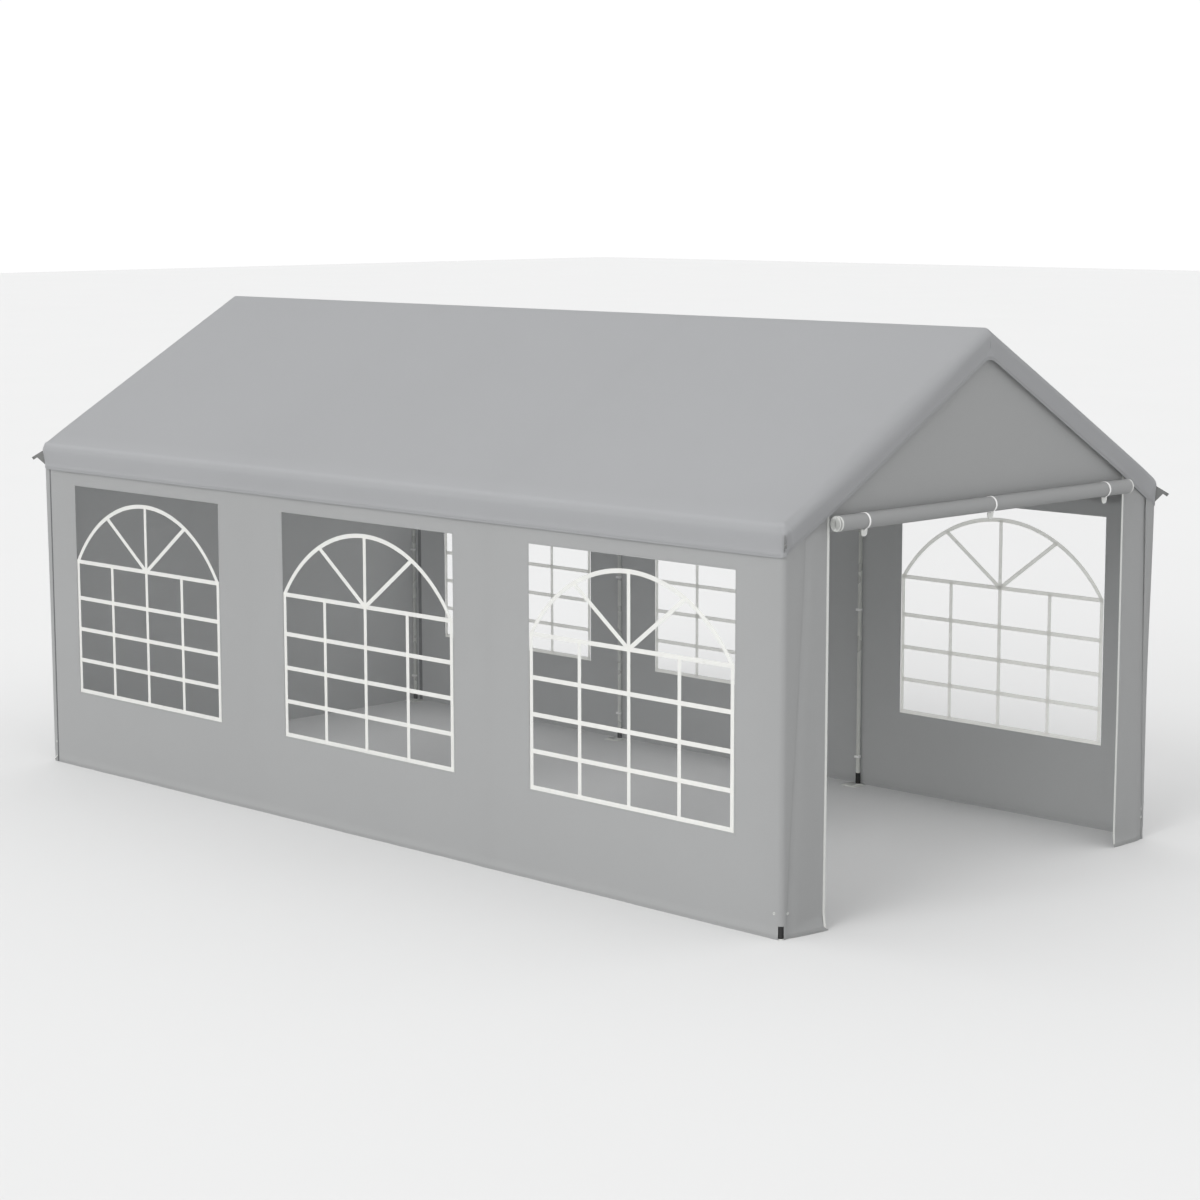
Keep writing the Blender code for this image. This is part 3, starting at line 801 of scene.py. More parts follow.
class Haberdashery:
    """Geometry Nodes trees for the small things that repeat: stitches, zip teeth, eyelets, screws, ties, sleeves."""

    def __init__(self, finishes: Finishes) -> None:
        """Build each tree once.

        Args:
            finishes: The tent's materials.
        """
        self.stitches = self._stitch_tree("stitch_run", finishes.thread, pitch=0.010, length=0.0065, width=0.0011)
        teeth = {"pitch": 0.0042, "length": 0.0024, "width": 0.0040}
        self.teeth = self._stitch_tree("zip_teeth", finishes.zip_tape, **teeth)
        self.dark_teeth = self._stitch_tree("dark_zip_teeth", finishes.dark_rubber, **teeth)
        self.eyelets = self._ring_tree("eyelets", finishes.zip_tape, radius=0.0055, thickness=0.0016)
        self.screws = self._screw_tree(finishes.plated)
        self.ties = self._tie_tree(finishes.tape)
        self.feet = self._foot_tree(finishes.dark_rubber)

    @staticmethod
    def _stitch_tree(name: str, material: bpy.types.Material, **sizes: float) -> ShapeTree:
        """Return a tree that lays rounded grains along edge runs, with inputs pitch, length and width.

        Args:
            name: The tree's name.
            material: Its material.
            sizes: The default of each named input, in metres.

        Returns:
            The tree.
        """
        shape = ShapeTree(name, **sizes)
        graph = shape.graph
        curve = graph.add("GeometryNodeMeshToCurve", None, {0: shape.source})
        marks = graph.add("GeometryNodeCurveToPoints", {"mode": "LENGTH"},
                          {"Curve": curve, "Length": shape.value("pitch")})
        grain = graph.add("GeometryNodeMeshIcoSphere", None, {"Radius": 0.5, "Subdivisions": 1})
        turn = graph.add("FunctionNodeAlignRotationToVector", {"axis": "X"},
                         {"Vector": marks.port("Tangent")})
        size = shape.vector(shape.value("length"), shape.value("width"), shape.value("width"))
        placed = graph.add("GeometryNodeInstanceOnPoints", None,
                           {"Points": marks, "Instance": grain, "Rotation": turn, "Scale": size})
        shape.end(placed, material)
        return shape

    @staticmethod
    def _put_on_points(shape: ShapeTree, part: Signal, material: bpy.types.Material) -> ShapeTree:
        """End a tree with a part on each point, its +Z along the point's facing and its +X to the side.

        Args:
            shape: The tree.
            part: The part's geometry.
            material: Its material.

        Returns:
            The same tree.
        """
        graph = shape.graph
        facing, side = (graph.add("GeometryNodeInputNamedAttribute", {"data_type": "FLOAT_VECTOR"}, {"Name": label})
                        for label in ("facing", "side"))
        first = graph.add("FunctionNodeAlignRotationToVector", {"axis": "Z"}, {"Vector": facing})
        turn = graph.add("FunctionNodeAlignRotationToVector", {"axis": "X", "pivot_axis": "Z"},
                         {"Rotation": first, "Vector": side})
        placed = graph.add("GeometryNodeInstanceOnPoints", None,
                           {"Points": shape.source, "Instance": part, "Rotation": turn})
        shape.end(placed, material)
        return shape

    def _ring_tree(self, name: str, material: bpy.types.Material, **sizes: float) -> ShapeTree:
        """Return a tree that puts a round-section ring on each point, with inputs radius and thickness.

        Args:
            name: The tree's name.
            material: Its material.
            sizes: The default of each named input, in metres.

        Returns:
            The tree.
        """
        shape = ShapeTree(name, **sizes)
        graph = shape.graph
        circle = graph.add("GeometryNodeCurvePrimitiveCircle", None,
                           {"Resolution": 18, "Radius": shape.value("radius")})
        section = graph.add("GeometryNodeCurvePrimitiveCircle", None,
                            {"Resolution": 7, "Radius": shape.value("thickness")})
        ring = graph.add("GeometryNodeCurveToMesh", None, {"Curve": circle, "Profile Curve": section})
        return self._put_on_points(shape, ring, material)

    def _screw_tree(self, material: bpy.types.Material) -> ShapeTree:
        """Return a tree that puts a hexagon screw and its washer on each point.

        Args:
            material: Its material.

        Returns:
            The tree.
        """
        shape = ShapeTree("hexagon_screws", head=0.0062, height=0.0046, washer=0.0082)
        graph = shape.graph
        head = graph.add("GeometryNodeMeshCylinder", None,
                         {"Vertices": 6, "Radius": shape.value("head"), "Depth": shape.value("height")})
        lifted = graph.add("GeometryNodeTransform", None,
                           {0: head, "Translation": shape.vector(z=shape.value("height") * 0.75)})
        washer = graph.add("GeometryNodeMeshCylinder", None,
                           {"Vertices": 18, "Radius": shape.value("washer"), "Depth": 0.0016})
        both = graph.add("GeometryNodeJoinGeometry", None, {0: [lifted, washer]})
        return self._put_on_points(shape, both, material)

    def _tie_tree(self, material: bpy.types.Material) -> ShapeTree:
        """Return a tree that wraps a band round a tube at each point, with a flat bar across its inner side.

        Args:
            material: Its material.

        Returns:
            The tree.
        """
        shape = ShapeTree("tube_ties", radius=0.0137, width=0.014, thickness=0.0014, bar=0.034)
        graph = shape.graph
        circle = graph.add("GeometryNodeCurvePrimitiveCircle", None,
                           {"Resolution": 20, "Radius": shape.value("radius")})
        section = graph.add("GeometryNodeCurvePrimitiveQuadrilateral", None,
                            {"Width": shape.value("thickness"), "Height": shape.value("width")})
        band = graph.add("GeometryNodeCurveToMesh", None, {"Curve": circle, "Profile Curve": section})
        flat = graph.add("GeometryNodeMeshCube", None,
                         {"Size": shape.vector(0.003, shape.value("bar"), shape.value("width"))})
        beside = graph.add("GeometryNodeTransform", None,
                           {0: flat, "Translation": shape.vector(x=shape.value("radius") + 0.0022)})
        both = graph.add("GeometryNodeJoinGeometry", None, {0: [band, beside]})
        return self._put_on_points(shape, both, material)

    def _foot_tree(self, material: bpy.types.Material) -> ShapeTree:
        """Return a tree that puts a black sleeve round the foot of the post at each point, its black painting the
        shade in the corner notch.

        Args:
            material: Its material.

        Returns:
            The tree.
        """
        shape = ShapeTree("foot_sleeves_painted_shade", radius=0.0147, height=0.064)
        graph = shape.graph
        sleeve = graph.add("GeometryNodeMeshCylinder", None,
                           {"Vertices": 28, "Radius": shape.value("radius"), "Depth": shape.value("height")})
        return self._put_on_points(shape, sleeve, material)

    def sew(self, name: str, runs: Sequence[Sequence[Vector]], slot: Slot) -> bpy.types.Object:
        """Lay stitches along runs of points and settle them."""
        return lay_along(self.stitches, name, runs, slot)


# The tent's main lines

@dataclass(frozen=True)
class TentPlan:
    """Main lines of the tent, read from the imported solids."""

    wall_x: float
    wall_y: float
    wall_top: float
    wall_back: float
    back_return: float
    left_return: float
    right_return: float
    hem_z: float
    post_x: float
    eave_z: float
    ridge_z: float
    rows: tuple[float, ...]
    windows: tuple[float, ...]
    window_sill: float
    window_head: float
    flap_y: float
    door_left: float
    door_right: float
    left_flap_outer: float
    right_flap_outer: float
    gable_low: float
    gable_top: float
    roll_y: float
    roll_radius: float
    corner_radius: float = 0.028

    @classmethod
    def from_frame(cls, film_lap: float = 0.015) -> "TentPlan":
        """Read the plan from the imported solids.

        Args:
            film_lap: How far a solid window's film laps over the wall round it.

        Returns:
            The plan.
        """
        left_low, left_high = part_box("left_wall")
        back_low, back_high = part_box("back_wall")
        eave_low, eave_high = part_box("left_eave_rail_1")
        ridge_low, ridge_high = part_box("ridge_rail_1")
        film_low, film_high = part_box("left_window_1")
        gable_low, gable_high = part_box("front_gable")
        roll_low, roll_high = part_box("door_roll")
        left_flap, right_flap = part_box("front_left_flap"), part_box("front_right_flap")
        rafters = [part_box(f"left_rafter_{i}") for i in range(1, 5)]
        films = [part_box(f"left_window_{i}") for i in range(1, 4)]
        return cls(wall_x=-left_low.x, wall_y=back_high.y, wall_top=left_high.z, wall_back=left_high.y,
                   back_return=back_low.y, left_return=left_high.x, right_return=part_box("right_wall")[0].x,
                   hem_z=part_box("roof_cover")[0].z, post_x=-(eave_low.x + eave_high.x) / 2,
                   eave_z=(eave_low.z + eave_high.z) / 2, ridge_z=(ridge_low.z + ridge_high.z) / 2,
                   rows=tuple((low.y + high.y) / 2 for low, high in rafters),
                   windows=tuple((low.y + high.y) / 2 for low, high in films),
                   window_sill=film_low.z + film_lap, window_head=film_high.z - film_lap,
                   flap_y=left_flap[0].y, door_left=left_flap[1].x, door_right=right_flap[0].x,
                   left_flap_outer=left_flap[0].x, right_flap_outer=right_flap[1].x,
                   gable_low=gable_low.z, gable_top=gable_high.z,
                   roll_y=(roll_low.y + roll_high.y) / 2, roll_radius=(roll_high.z - roll_low.z) / 2)

    @property
    def pitch(self) -> float:
        """Return the roof's pitch, in radians."""
        return math.atan2(self.ridge_z - self.eave_z, self.post_x)

    @property
    def skin(self) -> float:
        """Return how far the walls' outside faces lie from the posts' axes."""
        return self.wall_x - self.post_x

    @property
    def corner_x(self) -> float:
        """Return how far from the middle the gable walls run straight, before they turn the corner."""
        return self.wall_x - self.corner_radius

    @property
    def corner_y(self) -> float:
        """Return how far from the middle the long walls run straight, before they turn the corner."""
        return self.wall_y - self.corner_radius

    @property
    def ridge_corner(self) -> float:
        """Return the height where the two outer slopes would meet."""
        return self.ridge_z + self.skin / math.cos(self.pitch)

    def slope_ways(self, sign: int) -> tuple[Vector, Vector]:
        """Return the way up the slope on the side of a sign, and the way down out of its underside."""
        return (Vector((-sign * math.cos(self.pitch), 0, math.sin(self.pitch))),
                Vector((-sign * math.sin(self.pitch), 0, -math.cos(self.pitch))))


# Roof cover

def mirrored(row: Sequence[Point]) -> list[Point]:
    """Return a row that starts at the middle, mirrored to the left and without its first point."""
    return [(-x, y, z) for x, y, z in row[:0:-1]]


@dataclass
class RoofCover:
    """The roof cover: two slopes, a valance down each side and a band along each gable."""

    plan: TentPlan
    side_overhang: float = 0.012
    eave_bend: float = 0.066
    gable_bends: dict[Corner, tuple[float, float, float]] = field(default_factory=lambda: {
        Corner.FRONT_LEFT: (0.045, 0.075, 0.050), Corner.FRONT_RIGHT: (0.045, 0.036, 0.035),
        Corner.BACK_LEFT: (0.035, 0.033, 0.035), Corner.BACK_RIGHT: (0.035, 0.033, 0.035)})
    corner_pulls: dict[Corner, tuple[float, float]] = field(default_factory=lambda: {
        Corner.FRONT_LEFT: (0.007, 0.0257), Corner.FRONT_RIGHT: (0.0, 0.0215),
        Corner.BACK_LEFT: (0.0096, 0.028), Corner.BACK_RIGHT: (0.007, 0.0257)})
    corner_bend: float = 0.022
    hub_reach: float = 0.0275
    # How much lighter the eave bend is painted: a painted highlight along the bend.
    bend_highlight: float = 1.8
    band_depth: float = 0.147
    apex_radius: float = 0.095
    corner_share: float = 0.064
    thickness: float = 0.0012
    hem_width: float = 0.022
    hem_step: float = 0.0010
    sag: float = 0.004
    band_lean: float = 0.004
    row_step: float = 0.085
    slope_step: float = 0.11
    ridge_steps: int = 4
    eave_steps: int = 10
    valance_steps: int = 4
    bend_steps: int = 8
    edge_gap: float = 0.006
    sag_wave: tuple[float, float, float] = (0.25, 9.0, 1.3)
    sag_end: float = 0.2
    valance_wave: tuple[float, float, float] = (0.0015, 5.1, 0.4)
    side_fade: tuple[float, float] = (0.06, 0.07)
    end_fade: tuple[float, float] = (0.05, 0.07)
    pull_heights: tuple[float, float] = (0.13, 0.26)
    pull_along: float = 0.22
    pull_across: tuple[float, float] = (1.0, 0.30)
    tab_profile: tuple[tuple[float, float], ...] = (
        (0.0, 1.940), (0.0641, 1.8996), (0.0522, 1.8854), (0.0353, 1.896), (0.0, 1.8495))
    tab_bar: tuple[tuple[float, float], ...] = (
        (0.0641, 1.8996), (0.0522, 1.8854), (0.0560, 1.8822), (0.0679, 1.8964))
    tab_faces: tuple[tuple[int, ...], ...] = ((0, 1, 2, 3), (0, 3, 4))
    tab_half: float = 0.0005
    tab_bar_half: float = 0.006
    tab_root: float = 0.003

    @property
    def valance_x(self) -> float:
        """Return the outside of the valance."""
        return self.plan.wall_x + self.side_overhang

    @property
    def band_y(self) -> float:
        """Return the outside of the gable band."""
        return -(self.plan.roll_y + self.plan.roll_radius)

    @property
    def slope(self) -> float:
        """Return the roof's rise for each metre across."""
        return math.tan(self.plan.pitch)

    @property
    def slope_shares(self) -> list[float]:
        """Return where a slope's columns lie between its ridge and its eave, closer together near the ridge."""
        steps = round((self.valance_x / math.cos(self.plan.pitch)) / self.slope_step)
        return [0.010, 0.020, 0.032, 0.046] + [i / steps for i in range(1, steps)]

    @property
    def band_apex(self) -> float:
        """Return the height where the two lower edges of a gable band would meet."""
        return self.plan.ridge_corner - self.band_depth

    def hem_marks(self) -> list[float]:
        """Return distances from a hem's edge that draw its fold."""
        return [0.0, self.hem_width * 0.5, self.hem_width * 0.93, self.hem_width]

    def slope_bend(self, corner: Corner, share: float) -> float:
        """Return the radius on which a slope turns down to the gable band, at a share of the slope.

        Args:
            corner: The corner that the slope comes down to.
            share: 0 at the ridge, 1 at the eave.

        Returns:
            The radius, in metres.
        """
        ridge, middle, eave = self.gable_bends[corner]
        if share < 0.5:
            return ridge + (middle - ridge) * smoothed(share * 2)
        return middle + (eave - middle) * smoothed(share * 2 - 1)

    def half_outline(self, turn: float, corner: Corner = Corner.FRONT_RIGHT) -> list[Point]:
        """Return the cover from the ridge down to the hem, as if on the right.

        Args:
            turn: How far it has turned down to the gable: 0 on the slopes, a quarter turn on the band.
            corner: The corner that it comes down to.

        Returns:
            For each column its x, its distance behind the band's face and its z.
        """
        plan = self.plan
        lean = math.pi / 2 - plan.pitch

        def bent(radius: float) -> tuple[float, float]:
            """Return the inset and the distance behind the band's face on a bend of a radius."""
            return radius * (1 - math.cos(turn)), radius * (1 - math.sin(turn))

        inset, back = bent(self.slope_bend(corner, 0.0))
        radius = plan.skin - inset / 2
        centre_z = plan.ridge_z - inset / 2 / math.cos(plan.pitch)
        outline = []
        for i in range(self.ridge_steps + 1):
            angle = math.pi / 2 - plan.pitch * i / self.ridge_steps
            outline.append((radius * math.cos(angle), back, centre_z + radius * math.sin(angle)))
        out = Vector((math.sin(plan.pitch), math.cos(plan.pitch)))
        centre = Vector((self.valance_x - self.eave_bend,
                         plan.ridge_corner - self.slope * self.valance_x - self.eave_bend * math.tan(lean / 2)))
        top = Vector((0, plan.ridge_z)) + out * plan.skin
        foot = centre + out * self.eave_bend
        for share in self.slope_shares:
            inset, back = bent(self.slope_bend(corner, share))
            place = top.lerp(foot, share) - out * inset
            outline.append((place.x, back, place.y))
        eave_bend = self.slope_bend(corner, 1.0)
        for i in range(self.eave_steps + 1):
            share = i / self.eave_steps
            inset, back = bent(eave_bend + (self.corner_bend - eave_bend) * smoothed(share))
            angle = lean * (1 - share)
            radius = self.eave_bend - inset
            outline.append((centre.x + radius * math.cos(angle), back, centre.y + radius * math.sin(angle)))
        inset, back = bent(self.corner_bend)
        hem = plan.hem_z + turn / (math.pi / 2) * (
            self.band_apex - self.slope * (self.valance_x - self.corner_bend) - plan.hem_z)
        above = hem + self.hem_width
        for i in range(self.valance_steps - 1, 0, -1):
            outline.append((self.valance_x - inset, back, above + (centre.y - above) * i / self.valance_steps))
        for mark in reversed(self.hem_marks()):
            step = self.hem_step if mark < self.hem_width else 0.0
            outline.append((self.valance_x - inset + step * math.cos(turn), back - step * math.sin(turn), hem + mark))
        return outline

    def inner_edge(self, share: float) -> tuple[float, float]:
        """Return x and z on the band's lower edge, at a share of its length from the apex to the hem.

        Args:
            share: 0 at the apex, 1 at the hem.

        Returns:
            The point's x and z.
        """
        pitch = self.plan.pitch
        centre_z = self.band_apex - self.apex_radius / math.cos(pitch)
        arc_length = self.apex_radius * pitch
        distance = share * self.inner_length()
        if distance < arc_length:
            angle = distance / self.apex_radius
            return self.apex_radius * math.sin(angle), centre_z + self.apex_radius * math.cos(angle)
        x = self.apex_radius * math.sin(pitch) + (distance - arc_length) * math.cos(pitch)
        return x, self.band_apex - self.slope * x

    def inner_length(self) -> float:
        """Return the length of half of the band's lower edge, which ends just short of the corner.

        Returns:
            The length, in metres.
        """
        end_x = self.valance_x - self.corner_bend - self.edge_gap
        tangent_x = self.apex_radius * math.sin(self.plan.pitch)
        return self.apex_radius * self.plan.pitch + (end_x - tangent_x) / math.cos(self.plan.pitch)

    def band_edge(self, outer: Sequence[Point]) -> list[tuple[float, float]]:
        """Return the lower-edge point that belongs to each point of the band's outer line, for the right half.

        Args:
            outer: The band's outer line, from the ridge to the hem.

        Returns:
            The x and z of each lower-edge point.
        """
        lengths = run_lengths(outer)
        turn = self.ridge_steps + len(self.slope_shares) + 1
        slope_share = 1 - self.corner_share / self.inner_length()
        edge = []
        for length in lengths:
            if length <= lengths[turn]:
                share = slope_share * length / lengths[turn]
            else:
                share = slope_share + (1 - slope_share) * (length - lengths[turn]) / (lengths[-1] - lengths[turn])
            edge.append(self.inner_edge(share))
        return edge

    def band_rows(self, corner: Corner) -> MarkedRows:
        """Return the rows of half a band from its lower edge up, and each row's seam mark.

        Args:
            corner: The corner that the band comes down to.

        Returns:
            The rows, and the seam mark of each.
        """
        outer = self.half_outline(math.pi / 2, corner)
        inner = self.band_edge(outer)
        depths = [math.dist((ox, oz), edge) for (ox, _, oz), edge in zip(outer, inner)]
        hem = self.hem_marks()
        rows = []
        for mark in hem:
            shares = [mark / depth * min(1.0, 0.6 * depth / self.hem_width) for depth in depths]
            rows.append((shares, 1.0 if mark < self.hem_width else 0.0))
        last = rows[-1][0]
        for part in (0.34, 0.67):
            rows.append(([share + (1 - share) * part for share in last], 0.0))
        placed = []
        for shares, seam in rows:
            row = []
            for share, (ox, back, oz), (ix, iz) in zip(shares, outer, inner):
                y = -self.band_y + min(back, -self.hem_step * seam) + self.band_lean * (1 - share)
                row.append((ix + (ox - ix) * share, y, iz + (oz - iz) * share))
            placed.append(row)
        return placed, [seam for _, seam in rows]

    def end_rows(self, left: Corner, right: Corner) -> MarkedRows:
        """Return the rows of one gable end, laid out as at the front, from its lower edge up to the slopes.

        Args:
            left: The corner on the left.
            right: The corner on the right.

        Returns:
            The rows, and the seam mark of each.
        """
        halves = []
        for corner in (left, right):
            rows, seams = self.band_rows(corner)
            for i in range(self.bend_steps + 1):
                turn = math.pi / 2 * (1 - i / self.bend_steps)
                rows.append([(x, back - self.band_y, z) for x, back, z in self.half_outline(turn, corner)])
                seams.append(0.0)
            halves.append(rows)
        return [mirrored(low) + high for low, high in zip(*halves)], seams

    def rows(self) -> MarkedRows:
        """Return the cover's rows from the front band's lower edge to the back one's, with their seams.

        Returns:
            The rows, and the seam mark of each.
        """
        front, seams = self.end_rows(Corner.FRONT_LEFT, Corner.FRONT_RIGHT)
        back, _ = self.end_rows(Corner.BACK_LEFT, Corner.BACK_RIGHT)
        half = self.half_outline(0.0)
        run = self.band_y - max(max(bends) for bends in self.gable_bends.values()) - 0.010
        middle = [[(x, y, z) for x, _, z in mirrored(half) + half] for y in spread(-run, run, self.row_step)]
        turned = [[(x, -y, z) for x, y, z in row] for row in reversed(back)]
        return front + middle + turned, seams + [0.0] * len(middle) + seams[::-1]

    def corner_pull(self, x: float, y: float) -> tuple[float, float]:
        """Return how far the cover is drawn in at the foot of the corner nearest to x, y."""
        return self.corner_pulls[Corner((-1 if x < 0 else 1, -1 if y < 0 else 1))]

    def eased(self, x: float, y: float, z: float) -> Point:
        """Return a point of the cover with the cloth's sag and its pull at the corners.

        Args:
            x: The point's place across the tent.
            y: Its place along the tent.
            z: Its height.

        Returns:
            The point's new place.
        """
        plan = self.plan
        side = math.copysign(1.0, x)
        bay = (plan.rows[-1] - plan.rows[0]) / (len(plan.rows) - 1)
        rise = (plan.ridge_corner - self.slope * abs(x)) - z
        if abs(y) < plan.rows[-1] and rise < 0.02 and abs(x) < plan.post_x:
            arch = math.sin(math.pi * abs(x) / plan.post_x)
            belly = math.sin(math.pi * (y - plan.rows[0]) / bay) ** 2 * arch
            part, rate, start = self.sag_wave
            wave = part * math.sin(rate * y + start) * arch * smoothed((plan.rows[-1] - abs(y)) / self.sag_end)
            drop = self.sag * (belly + wave)
            x -= side * drop * math.sin(plan.pitch)
            z -= drop * math.cos(plan.pitch)
        above_hem = z - plan.hem_z
        pull_x, pull_y = self.corner_pull(x, y)
        on_side = smoothed((abs(x) - plan.wall_x + self.side_fade[0]) / self.side_fade[1])
        on_end = smoothed((abs(y) - plan.wall_y + self.end_fade[0]) / self.end_fade[1])
        low = smoothed(1 - above_hem / self.pull_heights[0]) * on_side
        near_end = smoothed(1 - (self.band_y - abs(y)) / self.pull_along)
        near_side = smoothed((abs(x) - self.pull_across[0]) / self.pull_across[1])
        pull_y *= smoothed(1 - above_hem / self.pull_heights[1]) * near_side * on_end
        depth, rate, start = self.valance_wave
        x += side * low * (depth * math.sin(rate * y + start * side) * (1 - near_end) - pull_x * near_end)
        return self.clear_of_hub(Vector((x, y - math.copysign(pull_y, y), z)))

    def clear_of_hub(self, point: Vector) -> Point:
        """Return a point of the cover, pushed off the fitting in the nearest corner.

        Args:
            point: The point.

        Returns:
            Its new place.
        """
        plan = self.plan
        hub = Vector((math.copysign(plan.post_x, point.x), math.copysign(plan.rows[-1], point.y), plan.eave_z))
        away = point - hub
        return tuple(hub + away * max(1.0, self.hub_reach / away.length))

    def build(self, finishes: Finishes, small: Haberdashery) -> None:
        """Make the cover, its stitching and its guy tabs.

        Args:
            finishes: The tent's materials.
            small: The trees of the small parts.
        """
        rows, seams = self.rows()
        outline = [(x, z) for x, _, z in self.half_outline(0.0)]
        widths = run_lengths(outline)
        across = np.concatenate([-widths[:0:-1], widths])
        column_seams_and_highlight = (np.abs(across) > widths[-1] - self.hem_width * 0.97).astype(float)
        turn = self.ridge_steps + len(self.slope_shares) + 1
        # Mark the columns over the eave bend negative, which paints a highlight along the bend.
        for step in range(self.eave_steps + 1):
            pale = self.bend_highlight * smoothed(1 - abs(2.5 * step / self.eave_steps - 0.6))
            for column in (len(outline) - 1 + turn + step, len(outline) - 1 - turn - step):
                column_seams_and_highlight[column] = -pale
        points = np.array([[self.eased(*point) for point in row] for row in rows])
        flat = np.zeros((*points.shape[:2], 2))
        flat[:, :, 0] = across[None, :]
        flat[1:, :, 1] = np.cumsum(np.linalg.norm(np.diff(points, axis=0), axis=2), axis=0)
        seam = np.where(np.array(seams)[:, None] > 0, 1.0, column_seams_and_highlight[None, :])
        grid = ClothGrid("roof_cover_sheet", points, flat, seam)
        cover = settle(grid.to_object(finishes.roof, self.thickness), Slot.ROOF, ("roof_cover",))
        tabs = self.build_tabs(finishes)
        stitching = self.build_stitches(points, small)

    @staticmethod
    def flat_area(points: np.ndarray) -> float:
        """Return the area of a grid of points, in square metres.

        Args:
            points: The grid, as rows by columns by x, y, z.

        Returns:
            The area.
        """
        a = points[1:, :-1] - points[:-1, :-1]
        b = points[:-1, 1:] - points[:-1, :-1]
        c = points[1:, :-1] - points[1:, 1:]
        d = points[:-1, 1:] - points[1:, 1:]
        first = np.linalg.norm(np.cross(a, b), axis=2).sum() / 2
        second = np.linalg.norm(np.cross(c, d), axis=2).sum() / 2
        return float(first + second)

    def build_stitches(self, points: np.ndarray, small: Haberdashery) -> bpy.types.Object:
        """Sew the hems of the valances and of the gable bands.

        Args:
            points: The cover's grid of points.
            small: The trees of the small parts.

        Returns:
            The stitching.
        """
        runs = []
        for row in (1, -2):
            push = Vector((0, -STITCH_PROUD if row == 1 else STITCH_PROUD, 0))
            runs.append([Vector(point) + push for point in points[row]])
        for column in (1, -2):
            push = Vector((-STITCH_PROUD if column == 1 else STITCH_PROUD, 0, 0))
            runs.append([Vector(point) + push for point in points[:, column]])
        return small.sew("roof_cover_stitches", runs, Slot.ROOF)

    def build_tabs(self, finishes: Finishes) -> bpy.types.Object:
        """Make the four guy tabs: a gusset on each corner with a strap along its top that ends in a bar, all in a dark
        grey that paints their shade.

        Args:
            finishes: The tent's materials.

        Returns:
            The tabs as one piece.
        """
        top = self.tab_profile[0][1]
        points, faces = [], []
        for corner in Corner:
            outward = Vector((*corner.value, 0)).normalized()
            across = Vector((-outward.y, outward.x, 0))
            for profile, fronts, half in ((self.tab_profile, self.tab_faces, self.tab_half),
                                          (self.tab_bar, self.tab_faces[:1], self.tab_bar_half)):
                first, count = len(points), len(profile)
                for way in (-1, 1):
                    for reach, z in profile:
                        root = self.corner_point(corner, z if reach == 0 else top)
                        points.append(root + outward * (reach or -self.tab_root) + across * half * way)
                        points[-1].z = z
                faces += [[first + i for i in face] for face in fronts]
                faces += [[first + count + i for i in reversed(face)] for face in fronts]
                faces += [[first + (i + 1) % count, first + i, first + i + count, first + (i + 1) % count + count]
                          for i in range(count)]
        return settle(faced_object("guy_tabs", points, faces, finishes.tab_tape), Slot.ROOF)

    def corner_point(self, corner: Corner, z: float) -> Vector:
        """Return the cover's outermost point at a corner and a height.

        Args:
            corner: The corner.
            z: The height.

        Returns:
            The point.
        """
        sign_x, sign_y = corner.value
        short = self.corner_bend * (1 - math.sqrt(0.5))
        return Vector(self.eased(sign_x * (self.valance_x - short), sign_y * (self.band_y - short), z))


# Walls

@dataclass
class WallCloth:
    """How a hanging wall waves: nothing at its top edge and at held lines, more towards its free hem."""

    top: float
    wave: float = 0.0026
    ripple: float = 0.0011
    phase: float = 0.0
    held_at: tuple[float, float] = (-9.0, 9.0)
    hold_reach: float = 0.30

    def swell(self, along: float, height: float) -> float:
        """Return how far the cloth stands out at a place along the wall and a height.

        Args:
            along: The place along the cloth.
            height: The height.

        Returns:
            The distance, in metres.
        """
        free = min(max(1 - height / self.top, 0.0), 1.0)
        slow = math.sin(FULL_TURN * along / 1.31 + self.phase) + 0.6 * math.sin(FULL_TURN * along / 0.57 + 2.1)
        quick = math.sin(FULL_TURN * along / 0.23 + 0.8 + self.phase)
        middle = math.sin(math.pi * free)
        loose = (smoothed((along - self.held_at[0]) / self.hold_reach)
                 * smoothed((self.held_at[1] - along) / self.hold_reach))
        return loose * (self.wave * slow * (0.35 * middle + 0.65 * free) + self.ripple * quick * free * free)


@dataclass
class Station:
    """One column of an upright sheet: its place along the cloth, its foot on plan and the way out."""

    along: float
    place: Vector
    out: Vector
    at_corner: bool = False
    squarer: float = 0.0


